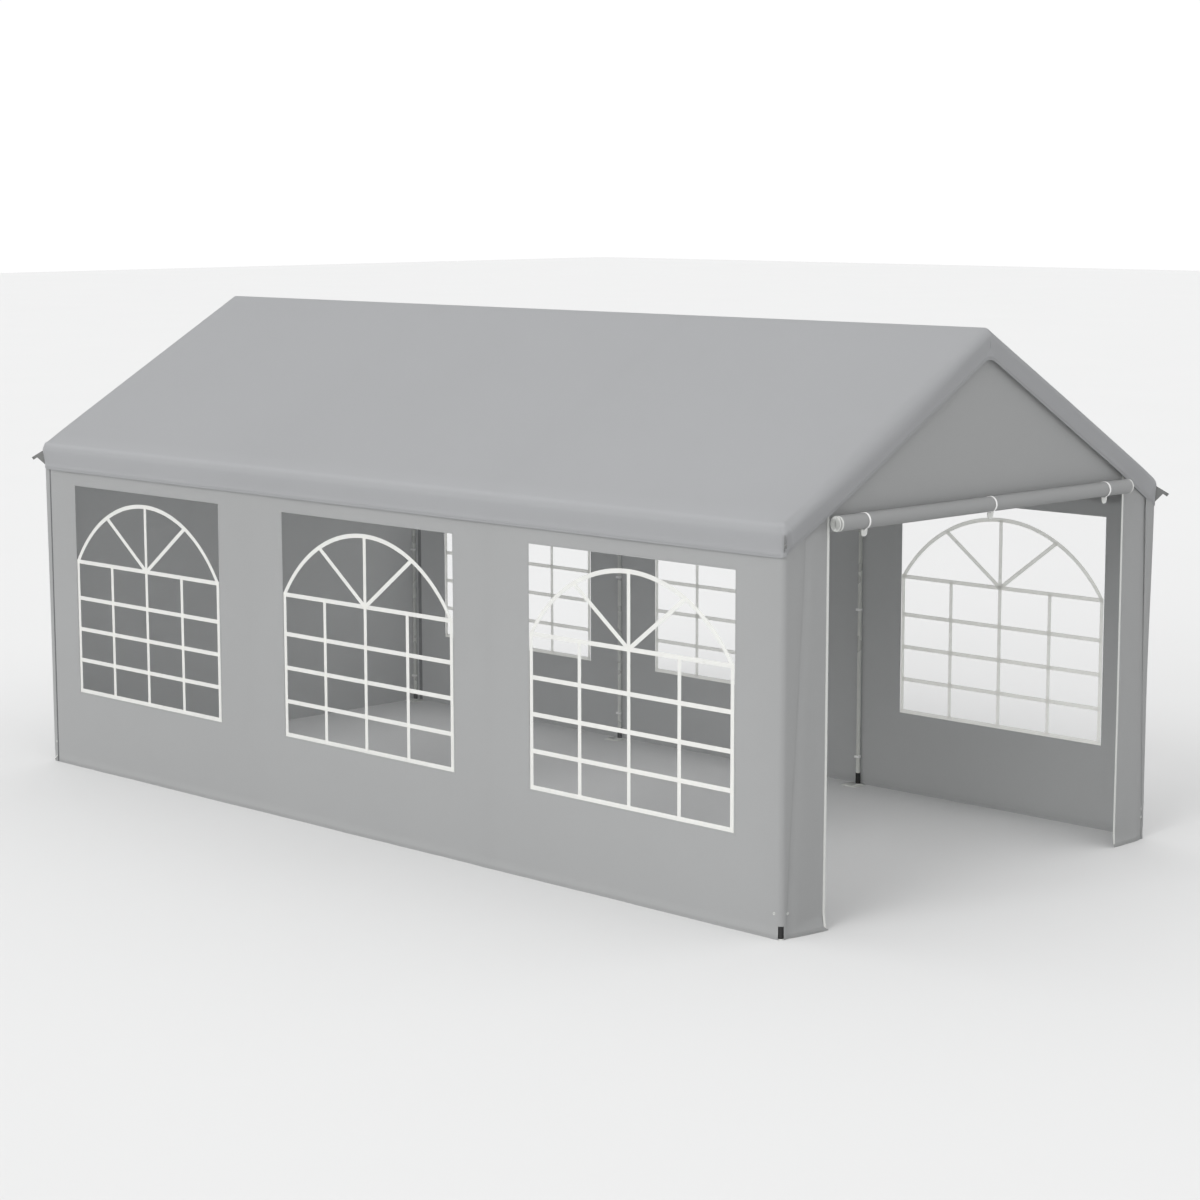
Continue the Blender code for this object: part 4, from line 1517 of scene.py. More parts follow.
@dataclass
class UprightSheet:
    """Lays an upright sheet of cloth along stations, from the floor to its top edge."""

    cloth: WallCloth
    thickness: float = 0.0012
    hem_width: float = 0.024
    hem_step: float = 0.0010
    height_step: float = 0.09

    def heights(self, top: float, marks: Sequence[float] = ()) -> list[float]:
        """Return the heights of the rows, with a hem at the foot and at the top.

        Args:
            top: The height of the top edge.
            marks: Heights that need a row.

        Returns:
            The heights in rising order.
        """
        hem = [0.0, self.hem_width / 2, self.hem_width * 0.94, self.hem_width]
        head = [top - mark for mark in (self.hem_width, self.hem_width * 0.94, self.hem_width / 2, 0.0)]
        stops = joined_marks([hem[-1]], marks, [head[0]])
        between = []
        for low, high in zip(stops, stops[1:]):
            between += spread(low, high, self.height_step)
        return joined_marks(hem, between, head)

    def grid(self, name: str, stations: Sequence[Station], heights: Sequence[float],
             is_open: Callable[[int, int], bool] | None = None,
             top_of: Callable[[Station], float] | None = None) -> ClothGrid:
        """Return the sheet's grid.

        Args:
            name: The piece's name.
            stations: The columns, with the outside to the right of the way they run.
            heights: The rows, from the foot up.
            is_open: Tells which cells are left open.
            top_of: Gives a column its own top edge, to which its rows are stretched from the wall's top.

        Returns:
            The grid, facing out.
        """
        top = heights[-1]
        points = np.zeros((len(heights), len(stations), 3))
        flat = np.zeros((len(heights), len(stations), 2))
        seam = np.zeros((len(heights), len(stations)))
        for j, station in enumerate(stations):
            own_top = top_of(station) if top_of else top
            for i, height in enumerate(heights):
                z = height if own_top == top else height * own_top / top
                in_hem = z < self.hem_width * 0.97 or height > top - self.hem_width * 0.97
                out = self.cloth.swell(station.along, z) + (self.hem_step if in_hem else 0.0)
                out += station.squarer * eave_share(z)
                place = station.place + station.out * out
                points[i, j] = (place.x, place.y, z)
                flat[i, j] = (station.along, z)
                seam[i, j] = 1.0 if in_hem else 0.0
        return ClothGrid(name, points, flat, seam, is_open)


def eave_share(z: float) -> float:
    """Return how strongly the eaves push a corner of the walls out at a height."""
    return smoothed((z - 0.75) / 1.2)


@dataclass(frozen=True)
class EdgeDraw:
    """How a long wall's edge on the front is drawn to the corner, most at its foot."""

    at_foot: float
    from_height: float
    at_top: float = 0.0
    dip: float = 0.0030

    def at(self, z: float) -> float:
        """Return how far the edge is drawn at a height."""
        return self.at_top + (self.at_foot - self.at_top) * max(0.0, 1 - z / self.from_height)


LEFT_EDGE = EdgeDraw(at_foot=0.105, from_height=1.80, at_top=-0.012)
RIGHT_EDGE = EdgeDraw(at_foot=0.040, from_height=1.82, at_top=-0.015)


def corner_columns(plan: TentPlan, corner: Corner, along: float, steps: int = 12) -> list[Station]:
    """Return the stations round one corner post, from the long wall's face to the gable wall's.

    Args:
        plan: The tent's main lines.
        corner: The corner.
        along: The place along the cloth where the turn starts.
        steps: How many steps the turn has.

    Returns:
        The stations in order.
    """
    sign_x, sign_y = corner.value
    radius = plan.corner_radius
    columns = []
    for i in range(steps + 1):
        angle = math.pi / 2 * i / steps
        out = Vector((sign_x * math.cos(angle), sign_y * math.sin(angle), 0))
        centre = Vector((sign_x * plan.corner_x, sign_y * plan.corner_y, 0))
        squarer = 0.0
        if corner is not Corner.FRONT_LEFT:
            squarer = radius / (math.cos(angle) ** 4 + math.sin(angle) ** 4) ** 0.25 - radius
        columns.append(Station(along + radius * angle, centre + out * radius, out, True, squarer))
    return columns


@dataclass
class WindowLattice:
    """White bars on a clear window: a grid under an arch with a hub and spokes."""

    half_width: float = 0.697
    foot: float = 0.485
    springing: float = 1.283
    rise: float = 0.387
    row_pitch: float = 0.1915
    column_pitch: float = 0.3465
    bar_width: float = 0.0235
    bar_depth: float = 0.0014
    spoke_across: float = 0.385
    spoke_up: float = 0.289

    def tree(self, material: bpy.types.Material) -> ShapeTree:
        """Return the tree that draws the bars flat, with X along the wall and Y up.

        Args:
            material: The bars' material.

        Returns:
            The tree.
        """
        shape = ShapeTree("arched_window_bars", half_width=self.half_width, foot=self.foot,
                          springing=self.springing, rise=self.rise, row_pitch=self.row_pitch,
                          column_pitch=self.column_pitch, bar_width=self.bar_width, bar_depth=self.bar_depth,
                          spoke_across=self.spoke_across, spoke_up=self.spoke_up)
        graph = shape.graph
        value, vector = shape.value, shape.vector
        half, foot, springing, rise = value("half_width"), value("foot"), value("springing"), value("rise")
        half_bar = value("bar_width") * 0.5
        section = graph.add("GeometryNodeCurvePrimitiveQuadrilateral", None,
                            {"Width": value("bar_width"), "Height": value("bar_depth")})
        rounded = graph.add("GeometryNodeFilletCurve", {"mode": "POLY"},
                            {"Curve": section, "Count": 1, "Radius": value("bar_depth") * 0.3})

        def bar(start: Signal, end: Signal, layer: float) -> Signal:
            """Return one straight bar, its layer a little above the others'."""
            line = graph.add("GeometryNodeCurvePrimitiveLine", None, {"Start": start, "End": end})
            return raised(line, layer)

        def raised(curve: Signal, layer: float) -> Signal:
            """Return a curve turned into a flat bar on its layer.

            Args:
                curve: The bar's middle line.
                layer: The height of its layer.

            Returns:
                The bar.
            """
            level = graph.add("GeometryNodeSetCurveNormal", {"mode": "Z_UP"}, {"Curve": curve})
            solid = graph.add("GeometryNodeCurveToMesh", None,
                              {"Curve": level, "Profile Curve": rounded, "Fill Caps": True})
            return graph.add("GeometryNodeTransform", None, {0: solid, "Translation": (0.0, 0.0, layer)})

        rows_at = graph.add("GeometryNodeMeshLine", None,
                            {"Count": 3, "Start Location": vector(0.0, foot + value("row_pitch")),
                             "Offset": vector(0.0, value("row_pitch"))})
        row = bar(vector(half * -1.0), vector(half), 0.0)
        bars = [graph.add("GeometryNodeInstanceOnPoints", None, {"Points": rows_at, "Instance": row})]
        bars.append(bar(vector(half * -1.0 - half_bar, foot), vector(half + half_bar, foot), 0.0))
        bars.append(bar(vector(half * -1.0 - half_bar, springing), vector(half + half_bar, springing), 0.0))
        for sign in (-1.0, 1.0):
            bars.append(bar(vector(half * sign, foot), vector(half * sign, springing), 0.00015))
            inner = value("column_pitch") * sign
            bars.append(bar(vector(inner, foot), vector(inner, springing), 0.00015))
            tip = vector(value("spoke_across") * sign, springing + value("spoke_up"))
            bars.append(bar(vector(0.0, springing), tip, 0.00045))
        bars.append(bar(vector(0.0, foot), vector(0.0, springing + rise), 0.0003))
        arc = graph.add("GeometryNodeCurveArc", {"mode": "POINTS"},
                        {"Resolution": 48, "Start": vector(half, springing),
                         "Middle": vector(0.0, springing + rise), "End": vector(-1.0 * half, springing)})
        bars.append(raised(arc, 0.0006))
        shape.end(graph.add("GeometryNodeJoinGeometry", None, {0: bars}), material)
        return shape


@dataclass
class LongWall:
    """One long wall: its sheet round the front corner, and three arched windows."""

    plan: TentPlan
    side: str
    cloth: WallCloth
    edge_draw: EdgeDraw
    column_step: float = 0.11
    return_step: float = 0.0125
    back_hem: float = 0.022
    swell_reach: tuple[float, float] = (0.27, 0.02)
    film_depth: float = 0.0014
    film_step: float = 0.08
    bars_depth: float = 0.0012
    loop_margin: float = 0.008
    loop_depth: float = -0.0004
    loop_steps: int = 16
    film_thickness: float = 0.0006
    film_lap: float = 0.012
    opening_half: float = 0.7125
    window_shift: float = -0.008
    corner_swell: float = 0.0

    @property
    def sign(self) -> int:
        """Return -1 for the left wall and 1 for the right one."""
        return -1 if self.side == "left" else 1

    @property
    def centres(self) -> list[float]:
        """Return the middles of the windows along the wall."""
        return [centre + self.window_shift for centre in self.plan.windows]

    @property
    def return_edge(self) -> float:
        """Return how far from the middle the wall's return on the front ends."""
        return abs(self.plan.left_return if self.sign < 0 else self.plan.right_return)

    def stations(self) -> list[Station]:
        """Return the columns from the wall's back edge round the front corner to its return's edge.

        Returns:
            The stations in order.
        """
        plan, sign = self.plan, self.sign
        edges = [centre + way * self.opening_half for centre in self.centres for way in (-1, 1)]
        stops = joined_marks([-plan.corner_y], edges, [plan.wall_back - self.back_hem, plan.wall_back])
        marks = joined_marks(*[spread(low, high, self.column_step) for low, high in zip(stops, stops[1:])])
        out = Vector((sign, 0, 0))
        columns = [Station(plan.wall_back - y, Vector((sign * plan.wall_x, y, 0)), out) for y in reversed(marks)]
        corner = Corner.FRONT_LEFT if sign < 0 else Corner.FRONT_RIGHT
        columns += corner_columns(plan, corner, plan.wall_back + plan.corner_y)[1:]
        start = columns[-1].along
        for x in spread(plan.corner_x, self.return_edge, self.return_step)[1:]:
            place = Vector((sign * x, -plan.wall_y, 0))
            columns.append(Station(start + plan.corner_x - x, place, Vector((0, -1, 0))))
        return columns

    def is_open(self, stations: Sequence[Station], heights: Sequence[float]) -> Callable[[int, int], bool]:
        """Return the test for cells inside a window or in the notch at the corner's foot.

        Args:
            stations: The wall's columns.
            heights: The wall's rows, from the foot up.

        Returns:
            A test that takes a cell's row and column.
        """
        plan = self.plan
        first_corner = next(j for j, station in enumerate(stations) if station.at_corner) - 1
        low_notch, high_notch = (first_corner + cell for cell in NOTCH_CELLS)

        def test(i: int, j: int) -> bool:
            """Return whether the cell above row i and past column j is left open.

            Args:
                i: The cell's row.
                j: Its column.

            Returns:
                Whether it is open.
            """
            z = (heights[i] + heights[i + 1]) / 2
            if low_notch <= j <= high_notch:
                return z < NOTCH_HEIGHT
            y = (stations[j].place.y + stations[j + 1].place.y) / 2
            on_side = stations[j].out.x != 0 and stations[j + 1].out.x != 0
            in_window = any(abs(y - centre) < self.opening_half for centre in self.centres)
            return on_side and in_window and plan.window_sill < z < plan.window_head
        return test

    def build(self, finishes: Finishes, small: Haberdashery, bars: ShapeTree) -> None:
        """Make the wall, its windows and its stitching.

        Args:
            finishes: The tent's materials.
            small: The trees of the small parts.
            bars: The tree that draws a window's bars.
        """
        plan = self.plan
        sheet = UprightSheet(self.cloth)
        stations = self.stations()
        heights = sheet.heights(plan.wall_top, (NOTCH_HEIGHT, plan.window_sill, plan.window_head))
        grid = sheet.grid(f"{self.side}_wall_sheet", stations, heights, self.is_open(stations, heights))
        grid.flip = self.sign > 0
        self.swell_corner(grid, stations)
        wall = settle(grid.to_object(finishes.wall, sheet.thickness), Slot.WALL, (f"{self.side}_wall",))
        stitching = self.build_stitches(grid, small)
        length = stations[-1].along
        holes = 3 * 2 * self.opening_half * (plan.window_head - plan.window_sill)
        length * plan.wall_top - holes
        for i, centre in enumerate(self.centres, start=1):
            self.build_film(i, centre, finishes)
            self.build_bars(i, centre, bars)

    def swell_corner(self, grid: ClothGrid, stations: Sequence[Station]) -> None:
        """Push the front corner and the cloth beside it out towards the eave.

        Args:
            grid: The wall's grid.
            stations: The wall's columns.
        """
        plan = self.plan
        side_reach, end_reach = self.swell_reach
        for j, station in enumerate(stations):
            beyond = -station.place.y - plan.corner_y
            side, end = smoothed((beyond + side_reach) / side_reach), smoothed(beyond / end_reach)
            drawn = max(0.0, (plan.corner_x - abs(station.place.x)) / (plan.corner_x - self.return_edge))
            for i, z in enumerate(grid.points[:, j, 2]):
                push = self.corner_swell * eave_share(z)
                grid.points[i, j, 0] += self.sign * (push * side + drawn * self.edge_draw.at(z))
                grid.points[i, j, 1] += drawn ** 4 * self.edge_draw.dip
                grid.points[i, j, 1] -= push * end

    def on_wall(self, y: float, z: float, depth: float) -> Point:
        """Return a point that follows the hanging wall, depth inside its outer face."""
        out = self.cloth.swell(self.plan.wall_back - y, z) - depth
        return self.sign * (self.plan.wall_x + out), y, z

    def build_film(self, number: int, centre: float, finishes: Finishes) -> None:
        """Make one window's clear film, which follows the wall.

        Args:
            number: The window's number.
            centre: The window's middle along the wall.
            finishes: The tent's materials.
        """
        plan = self.plan
        half = self.opening_half + self.film_lap
        ys = spread(centre - half, centre + half, self.film_step)
        zs = spread(plan.window_sill - self.film_lap, plan.window_head + self.film_lap, self.film_step)
        points = [[self.on_wall(y, z, self.film_depth) for y in ys] for z in zs]
        flat = [[(y - ys[0], z - zs[0]) for y in ys] for z in zs]
        grid = ClothGrid(f"{self.side}_window_film_{number}", points, flat, flip=self.sign < 0)
        film = settle(grid.to_object(finishes.film, self.film_thickness), Slot.FILM,
                      (f"{self.side}_window_{number}",))
        ys[-1] - ys[0]
        zs[-1] - zs[0]

    def build_bars(self, number: int, centre: float, bars: ShapeTree) -> None:
        """Make one window's bars and lay them on its film.

        Args:
            number: The window's number.
            centre: The window's middle along the wall.
            bars: The tree that draws a window's bars.
        """
        piece = bars.run(f"{self.side}_window_bars_{number}", bpy.data.meshes.new("bars"))
        flat = np.empty(len(piece.data.vertices) * 3)
        piece.data.vertices.foreach_get("co", flat)
        flat = flat.reshape(-1, 3)
        placed = [self.on_wall(centre + self.sign * x, z, self.bars_depth - depth) for x, z, depth in flat]
        piece.data.vertices.foreach_set("co", np.array(placed).ravel())
        piece.data.update()
        settle(piece, Slot.WEBBING)

    def build_stitches(self, grid: ClothGrid, small: Haberdashery) -> bpy.types.Object:
        """Sew the foot's hem and round each window.

        Args:
            grid: The wall's grid.
            small: The trees of the small parts.

        Returns:
            The stitching.
        """
        plan, points = self.plan, grid.points
        out = Vector((self.sign * STITCH_PROUD, 0, 0))
        foot = [Vector(point) + out for point in points[1] if abs(point[1]) < plan.corner_y]
        runs = [foot]
        for centre in self.centres:
            y_low = centre - self.opening_half - self.loop_margin
            y_high = centre + self.opening_half + self.loop_margin
            z_low, z_high = plan.window_sill - self.loop_margin, plan.window_head + self.loop_margin
            corners = [(y_low, z_low), (y_high, z_low), (y_high, z_high), (y_low, z_high), (y_low, z_low)]
            loop = []
            for (ya, za), (yb, zb) in zip(corners, corners[1:]):
                for k in range(self.loop_steps):
                    share = k / self.loop_steps
                    y, z = ya + (yb - ya) * share, za + (zb - za) * share
                    loop.append(Vector(self.on_wall(y, z, self.loop_depth)))
            loop.append(loop[0].copy())
            runs.append(loop)
        return small.sew(f"{self.side}_wall_stitches", runs, Slot.WALL)


@dataclass
class BackWall:
    """The closed back wall, which turns both back corners and fills the gable."""

    plan: TentPlan
    cloth: WallCloth
    column_step: float = 0.10
    tape_inset: float = 0.0014
    tape_lap: float = 0.008
    tape_thickness: float = 0.0014
    zip_foot: float = 0.002
    zip_head: float = 0.005
    zip_step: float = 0.12
    teeth_proud: float = 0.0004
    pull_proud: float = 0.006
    pull_foot: float = 0.034
    pull_step: tuple[float, float] = (0.006, 0.005)
    pull_grains: int = 5
    pull_grain: tuple[float, float] = (0.009, 0.012)

    def stations(self) -> list[Station]:
        """Return the columns from the right return's edge round both corners to the left one's.

        Returns:
            The stations in order.
        """
        plan = self.plan
        right = [Station(0.0, Vector((plan.wall_x, plan.back_return, 0)), Vector((1, 0, 0)))]
        right += corner_columns(plan, Corner.BACK_RIGHT, plan.corner_y - plan.back_return)
        start = right[-1].along
        for x in spread(plan.corner_x, -plan.corner_x, self.column_step)[1:-1]:
            right.append(Station(start + plan.corner_x - x, Vector((x, plan.wall_y, 0)), Vector((0, 1, 0))))
        whole = start + 2 * plan.corner_x
        left = corner_columns(plan, Corner.BACK_LEFT, 0.0)
        reach = left[-1].along
        turned = [Station(whole + reach - station.along, station.place, station.out, True, station.squarer)
                  for station in reversed(left)]
        edge = Station(whole + reach + plan.corner_y - plan.back_return,
                       Vector((-plan.wall_x, plan.back_return, 0)), Vector((-1, 0, 0)))
        return right + turned + [edge]

    def build(self, finishes: Finishes, small: Haberdashery) -> None:
        """Make the wall and its stitching.

        Args:
            finishes: The tent's materials.
            small: The trees of the small parts.
        """
        plan = self.plan
        sheet = UprightSheet(self.cloth)
        stations = self.stations()
        heights = sheet.heights(plan.wall_top, (NOTCH_HEIGHT,))
        corner_columns_at = [j for j, station in enumerate(stations) if station.at_corner]
        first, last = corner_columns_at[0], corner_columns_at[-1]
        cells = range(NOTCH_CELLS[0], NOTCH_CELLS[1] + 1)
        notches = {first + j for j in cells} | {last - 1 - j for j in cells}

        def test(i: int, j: int) -> bool:
            """Return whether a cell lies in a notch."""
            return j in notches and (heights[i] + heights[i + 1]) / 2 < NOTCH_HEIGHT

        def top_of(station: Station) -> float:
            """Return a column's top edge, under the roof.

            Args:
                station: The column.

            Returns:
                The height of its top edge.
            """
            if station.out.y < 0.999 or abs(station.place.x) > plan.corner_x - 1e-6:
                return plan.wall_top
            return plan.wall_top + (plan.gable_top - plan.wall_top) * (1 - abs(station.place.x) / plan.corner_x)

        grid = sheet.grid("back_wall_sheet", stations, heights, test, top_of)
        wall = settle(grid.to_object(finishes.wall, sheet.thickness), Slot.WALL, ("back_wall",))
        foot = [Vector(point) + Vector((0, STITCH_PROUD, 0)) for point in grid.points[1]
                if abs(point[0]) < plan.corner_x]
        stitching = small.sew("back_wall_stitches", [foot], Slot.WALL)
        length = stations[-1].along
        length * plan.wall_top + plan.corner_x * (plan.gable_top - plan.wall_top)
        self.build_zips(finishes, small)

    def build_zips(self, finishes: Finishes, small: Haberdashery) -> None:
        """Join the back wall to the long walls with a zip beside each back corner, whose dark tape and teeth paint the
        shade in the gap there.

        Args:
            finishes: The tent's materials.
            small: The trees of the small parts.
        """
        plan = self.plan
        outer = plan.wall_x - self.tape_inset
        heights = spread(self.zip_foot, plan.wall_top - self.zip_head, self.zip_step)
        marks = [plan.wall_back - self.tape_lap, plan.back_return + self.tape_lap]
        aside, down = self.pull_step
        middle = sum(marks) / 2
        for side, sign in (("left", -1), ("right", 1)):
            points = [[(sign * outer, y, z) for y in marks] for z in heights]
            flat = [[(y, z) for y in marks] for z in heights]
            tape = ClothGrid(f"back_{side}_zip_tape", points, flat, flip=sign < 0)
            settle(tape.to_object(finishes.dark_tape, self.tape_thickness), Slot.WALL)
            run = [Vector((sign * (outer + self.teeth_proud), middle, z)) for z in heights]
            lay_along(small.dark_teeth, f"back_{side}_zip_teeth", [run], Slot.WALL)
            pull = [Vector((sign * (outer + self.pull_proud), plan.back_return + aside * i, self.pull_foot - down * i))
                    for i in range(self.pull_grains)]
            lay_along(small.teeth, f"back_{side}_zip_pull", [pull], Slot.WEBBING, width=self.pull_grain[0],
                      length=self.pull_grain[1])


@dataclass
class FrontPanels:
    """The front: its gable sheet and a flap with a zip on each side of the doorway."""

    plan: TentPlan
    cloth: WallCloth
    zip_width: float = 0.009
    zip_foot: float = 0.020
    zip_top: float = 2.046
    teeth_short: float = 0.05
    tape_lap: float = 0.006
    tape_edge: float = 0.002
    tape_proud: float = 0.0016
    tape_thickness: float = 0.0022
    tape_step: float = 0.06
    teeth_step: float = 0.04
    flap_top: float = 2.055
    column_step: float = 0.0125
    foot_marks: tuple[float, ...] = (0.006, 0.018, 0.040, 0.055, 0.070)
    upper_marks: tuple[float, ...] = (1.92, 1.945)
    kick_margin: float = 0.012
    roof_gap: float = 0.010
    gable_belly: float = 0.003
    gable_step: float = 0.1
    proud: float = 0.0058
    follow: float = 0.9
    tuck_width: float = 0.070
    tuck_depth: float = 0.0090
    tuck_top: float = 1.946
    tuck_fade: float = 0.020
    lean_out: float = 0.0045
    lean_height: float = 0.9
    kick_height: float = 0.075
    kick_out: tuple[float, float] = (0.030, 0.008)
    kick_turn: float = 0.75
    flare_out: float = 0.026
    flare_height: float = 0.020

    def build(self, finishes: Finishes, small: Haberdashery) -> None:
        """Make the gable sheet, the flaps and their zips.

        Args:
            finishes: The tent's materials.
            small: The trees of the small parts.
        """
        self.build_gable(finishes)
        plan = self.plan
        for side, outer, inner, edge in (("left", plan.left_flap_outer, plan.door_left, LEFT_EDGE),
                                         ("right", plan.right_flap_outer, plan.door_right, RIGHT_EDGE)):
            self.build_flap(side, outer, inner, edge, finishes, small)

    def build_gable(self, finishes: Finishes) -> None:
        """Make the gable sheet over the doorway.

        Args:
            finishes: The tent's materials.
        """
        plan = self.plan
        sheet = UprightSheet(self.cloth)
        columns = spread(-plan.post_x, plan.post_x, self.gable_step)
        shares = [0.0, 0.02, 0.04] + spread(0.1, 1.0, 0.1)
        points, flat = [], []
        for share in shares:
            row = []
            for x in columns:
                top = plan.gable_top - math.tan(plan.pitch) * abs(x)
                z = plan.gable_low + (top - plan.gable_low) * share
                belly = self.gable_belly * math.sin(math.pi * share) * math.cos(math.pi * x / (2 * plan.post_x))
                row.append((x, -plan.wall_y - belly, z))
            points.append(row)
            flat.append([(x + plan.post_x, z) for x, _, z in row])
        seam = np.zeros((len(shares), len(columns)))
        seam[:2] = 1.0
        grid = ClothGrid("front_gable_sheet", points, flat, seam)
        gable = settle(grid.to_object(finishes.wall, sheet.thickness), Slot.WALL, ("front_gable",))

    def build_flap(self, side: str, outer: float, inner: float, edge: EdgeDraw, finishes: Finishes,
                   small: Haberdashery) -> None:
        """Make one flap, with its hem turned out at the foot, and the zip along its door edge.

        Args:
            side: Which side it is on, left or right.
            outer: The x of its outer edge.
            inner: The x of its door edge.
            edge: How the long wall's edge beside it is drawn.
            finishes: The tent's materials.
            small: The trees of the small parts.
        """
        plan = self.plan
        sheet = UprightSheet(self.cloth)
        top = self.flap_top
        marks = (self.kick_height + self.kick_margin, *self.upper_marks)
        heights = joined_marks(sheet.heights(top, marks), self.foot_marks)
        inwards = 1 if inner > outer else -1
        columns = spread(outer, inner, self.column_step)
        if inwards < 0:
            columns = columns[::-1]
        stations = [Station(x + plan.post_x, Vector((x, plan.flap_y, 0)), Vector((0, -1, 0))) for x in columns]
        slope = math.tan(plan.pitch)
        grid = sheet.grid(f"front_{side}_flap_sheet", stations, heights, None,
                          lambda station: min(top, plan.gable_top - slope * abs(station.place.x) - self.roof_gap))
        for i in range(len(heights)):
            for j, x in enumerate(columns):
                z = grid.points[i, j, 2]
                share = abs(x - outer) / abs(inner - outer)
                near_door = smoothed(share if inwards > 0 else share * 3)
                tucked = smoothed(1 - share * (abs(inner - outer) + edge.at(z)) / self.tuck_width)
                tucked *= smoothed((self.tuck_top - z) / self.tuck_fade)
                kick = self.kick(inwards, z) * near_door
                grid.points[i, j, 0] += self.flare(inwards, z) * near_door + self.lean(z) * share
                grid.points[i, j, 0] -= inwards * self.follow * edge.at(z) * (1 - share) + kick * self.kick_turn
                grid.points[i, j, 1] -= kick + self.proud - self.tuck_depth * tucked
        flap = settle(grid.to_object(finishes.wall, sheet.thickness), Slot.WALL, (f"front_{side}_flap",))
        tape = self.build_zip(side, inner, inwards, finishes)
        teeth = self.build_teeth(side, inner, inwards, small)
        foot = [Vector(point) + Vector((0, -STITCH_PROUD, 0)) for point in grid.points[1]]
        stitching = small.sew(f"front_{side}_flap_stitches", [foot], Slot.WALL)
        widths = [abs(inner - outer) + self.follow * edge.at(z) for z in spread(0.0, top, 0.05)]
        sum(widths) / len(widths) * top

    def kick(self, inwards: int, z: float) -> float:
        """Return how far a flap's foot is turned out to the front at a height."""
        return self.kick_out[inwards < 0] * smoothed(1 - z / self.kick_height)

    def flare(self, inwards: int, z: float) -> float:
        """Return how far the left flap's foot is turned in to the doorway at a height."""
        return self.flare_out * smoothed(1 - z / self.flare_height) * (inwards > 0)

    def lean(self, z: float) -> float:
        """Return how far a flap's door edge leans to the right at a height."""
        return self.lean_out * smoothed(z / self.lean_height)

    def zip_line(self, inner: float, inwards: int, beyond: float, z: float) -> Vector:
        """Return a point of the zip, beyond the flap's door edge by a distance, at a height.

        Args:
            inner: The x of the flap's door edge.
            inwards: 1 where the doorway lies to its right, -1 to its left.
            beyond: The distance past that edge.
            z: The height.

        Returns:
            The point.
        """
        kick = self.kick(inwards, z)
        out = self.cloth.swell(inner + self.plan.post_x, z) + self.tape_proud + kick + self.proud
        aside = inwards * beyond + self.flare(inwards, z) + self.lean(z) - kick * self.kick_turn
        return Vector((inner + aside, self.plan.flap_y - out, z))

    def build_zip(self, side: str, inner: float, inwards: int, finishes: Finishes) -> bpy.types.Object:
        """Make the zip's tape, which laps on to the flap and stands into the doorway.

        Args:
            side: Which side it is on, left or right.
            inner: The x of the flap's door edge.
            inwards: 1 where the doorway lies to its right, -1 to its left.
            finishes: The tent's materials.

        Returns:
            The tape.
        """
        heights = spread(self.zip_foot, self.zip_top, self.tape_step)
        beyonds = [-self.tape_lap, 0.0, self.zip_width - self.tape_edge, self.zip_width]
        points = [[self.zip_line(inner, inwards, beyond, z) for beyond in beyonds] for z in heights]
        flat = [[(beyond, z) for beyond in beyonds] for z in heights]
        tape = ClothGrid(f"front_{side}_zip_tape", points, flat, flip=inwards < 0)
        return settle(tape.to_object(finishes.zip_tape, self.tape_thickness), Slot.WEBBING)

    def build_teeth(self, side: str, inner: float, inwards: int, small: Haberdashery) -> bpy.types.Object:
        """Make the zip's teeth along the tape's free edge.

        Args:
            side: Which side it is on, left or right.
            inner: The x of the flap's door edge.
            inwards: 1 where the doorway lies to its right, -1 to its left.
            small: The trees of the small parts.

        Returns:
            The teeth as one piece.
        """
        run = [self.zip_line(inner, inwards, self.zip_width, z)
               for z in spread(self.zip_foot, self.zip_top - self.teeth_short, self.teeth_step)]
        return lay_along(small.teeth, f"front_{side}_zip_teeth", [run], Slot.WEBBING)


# Door

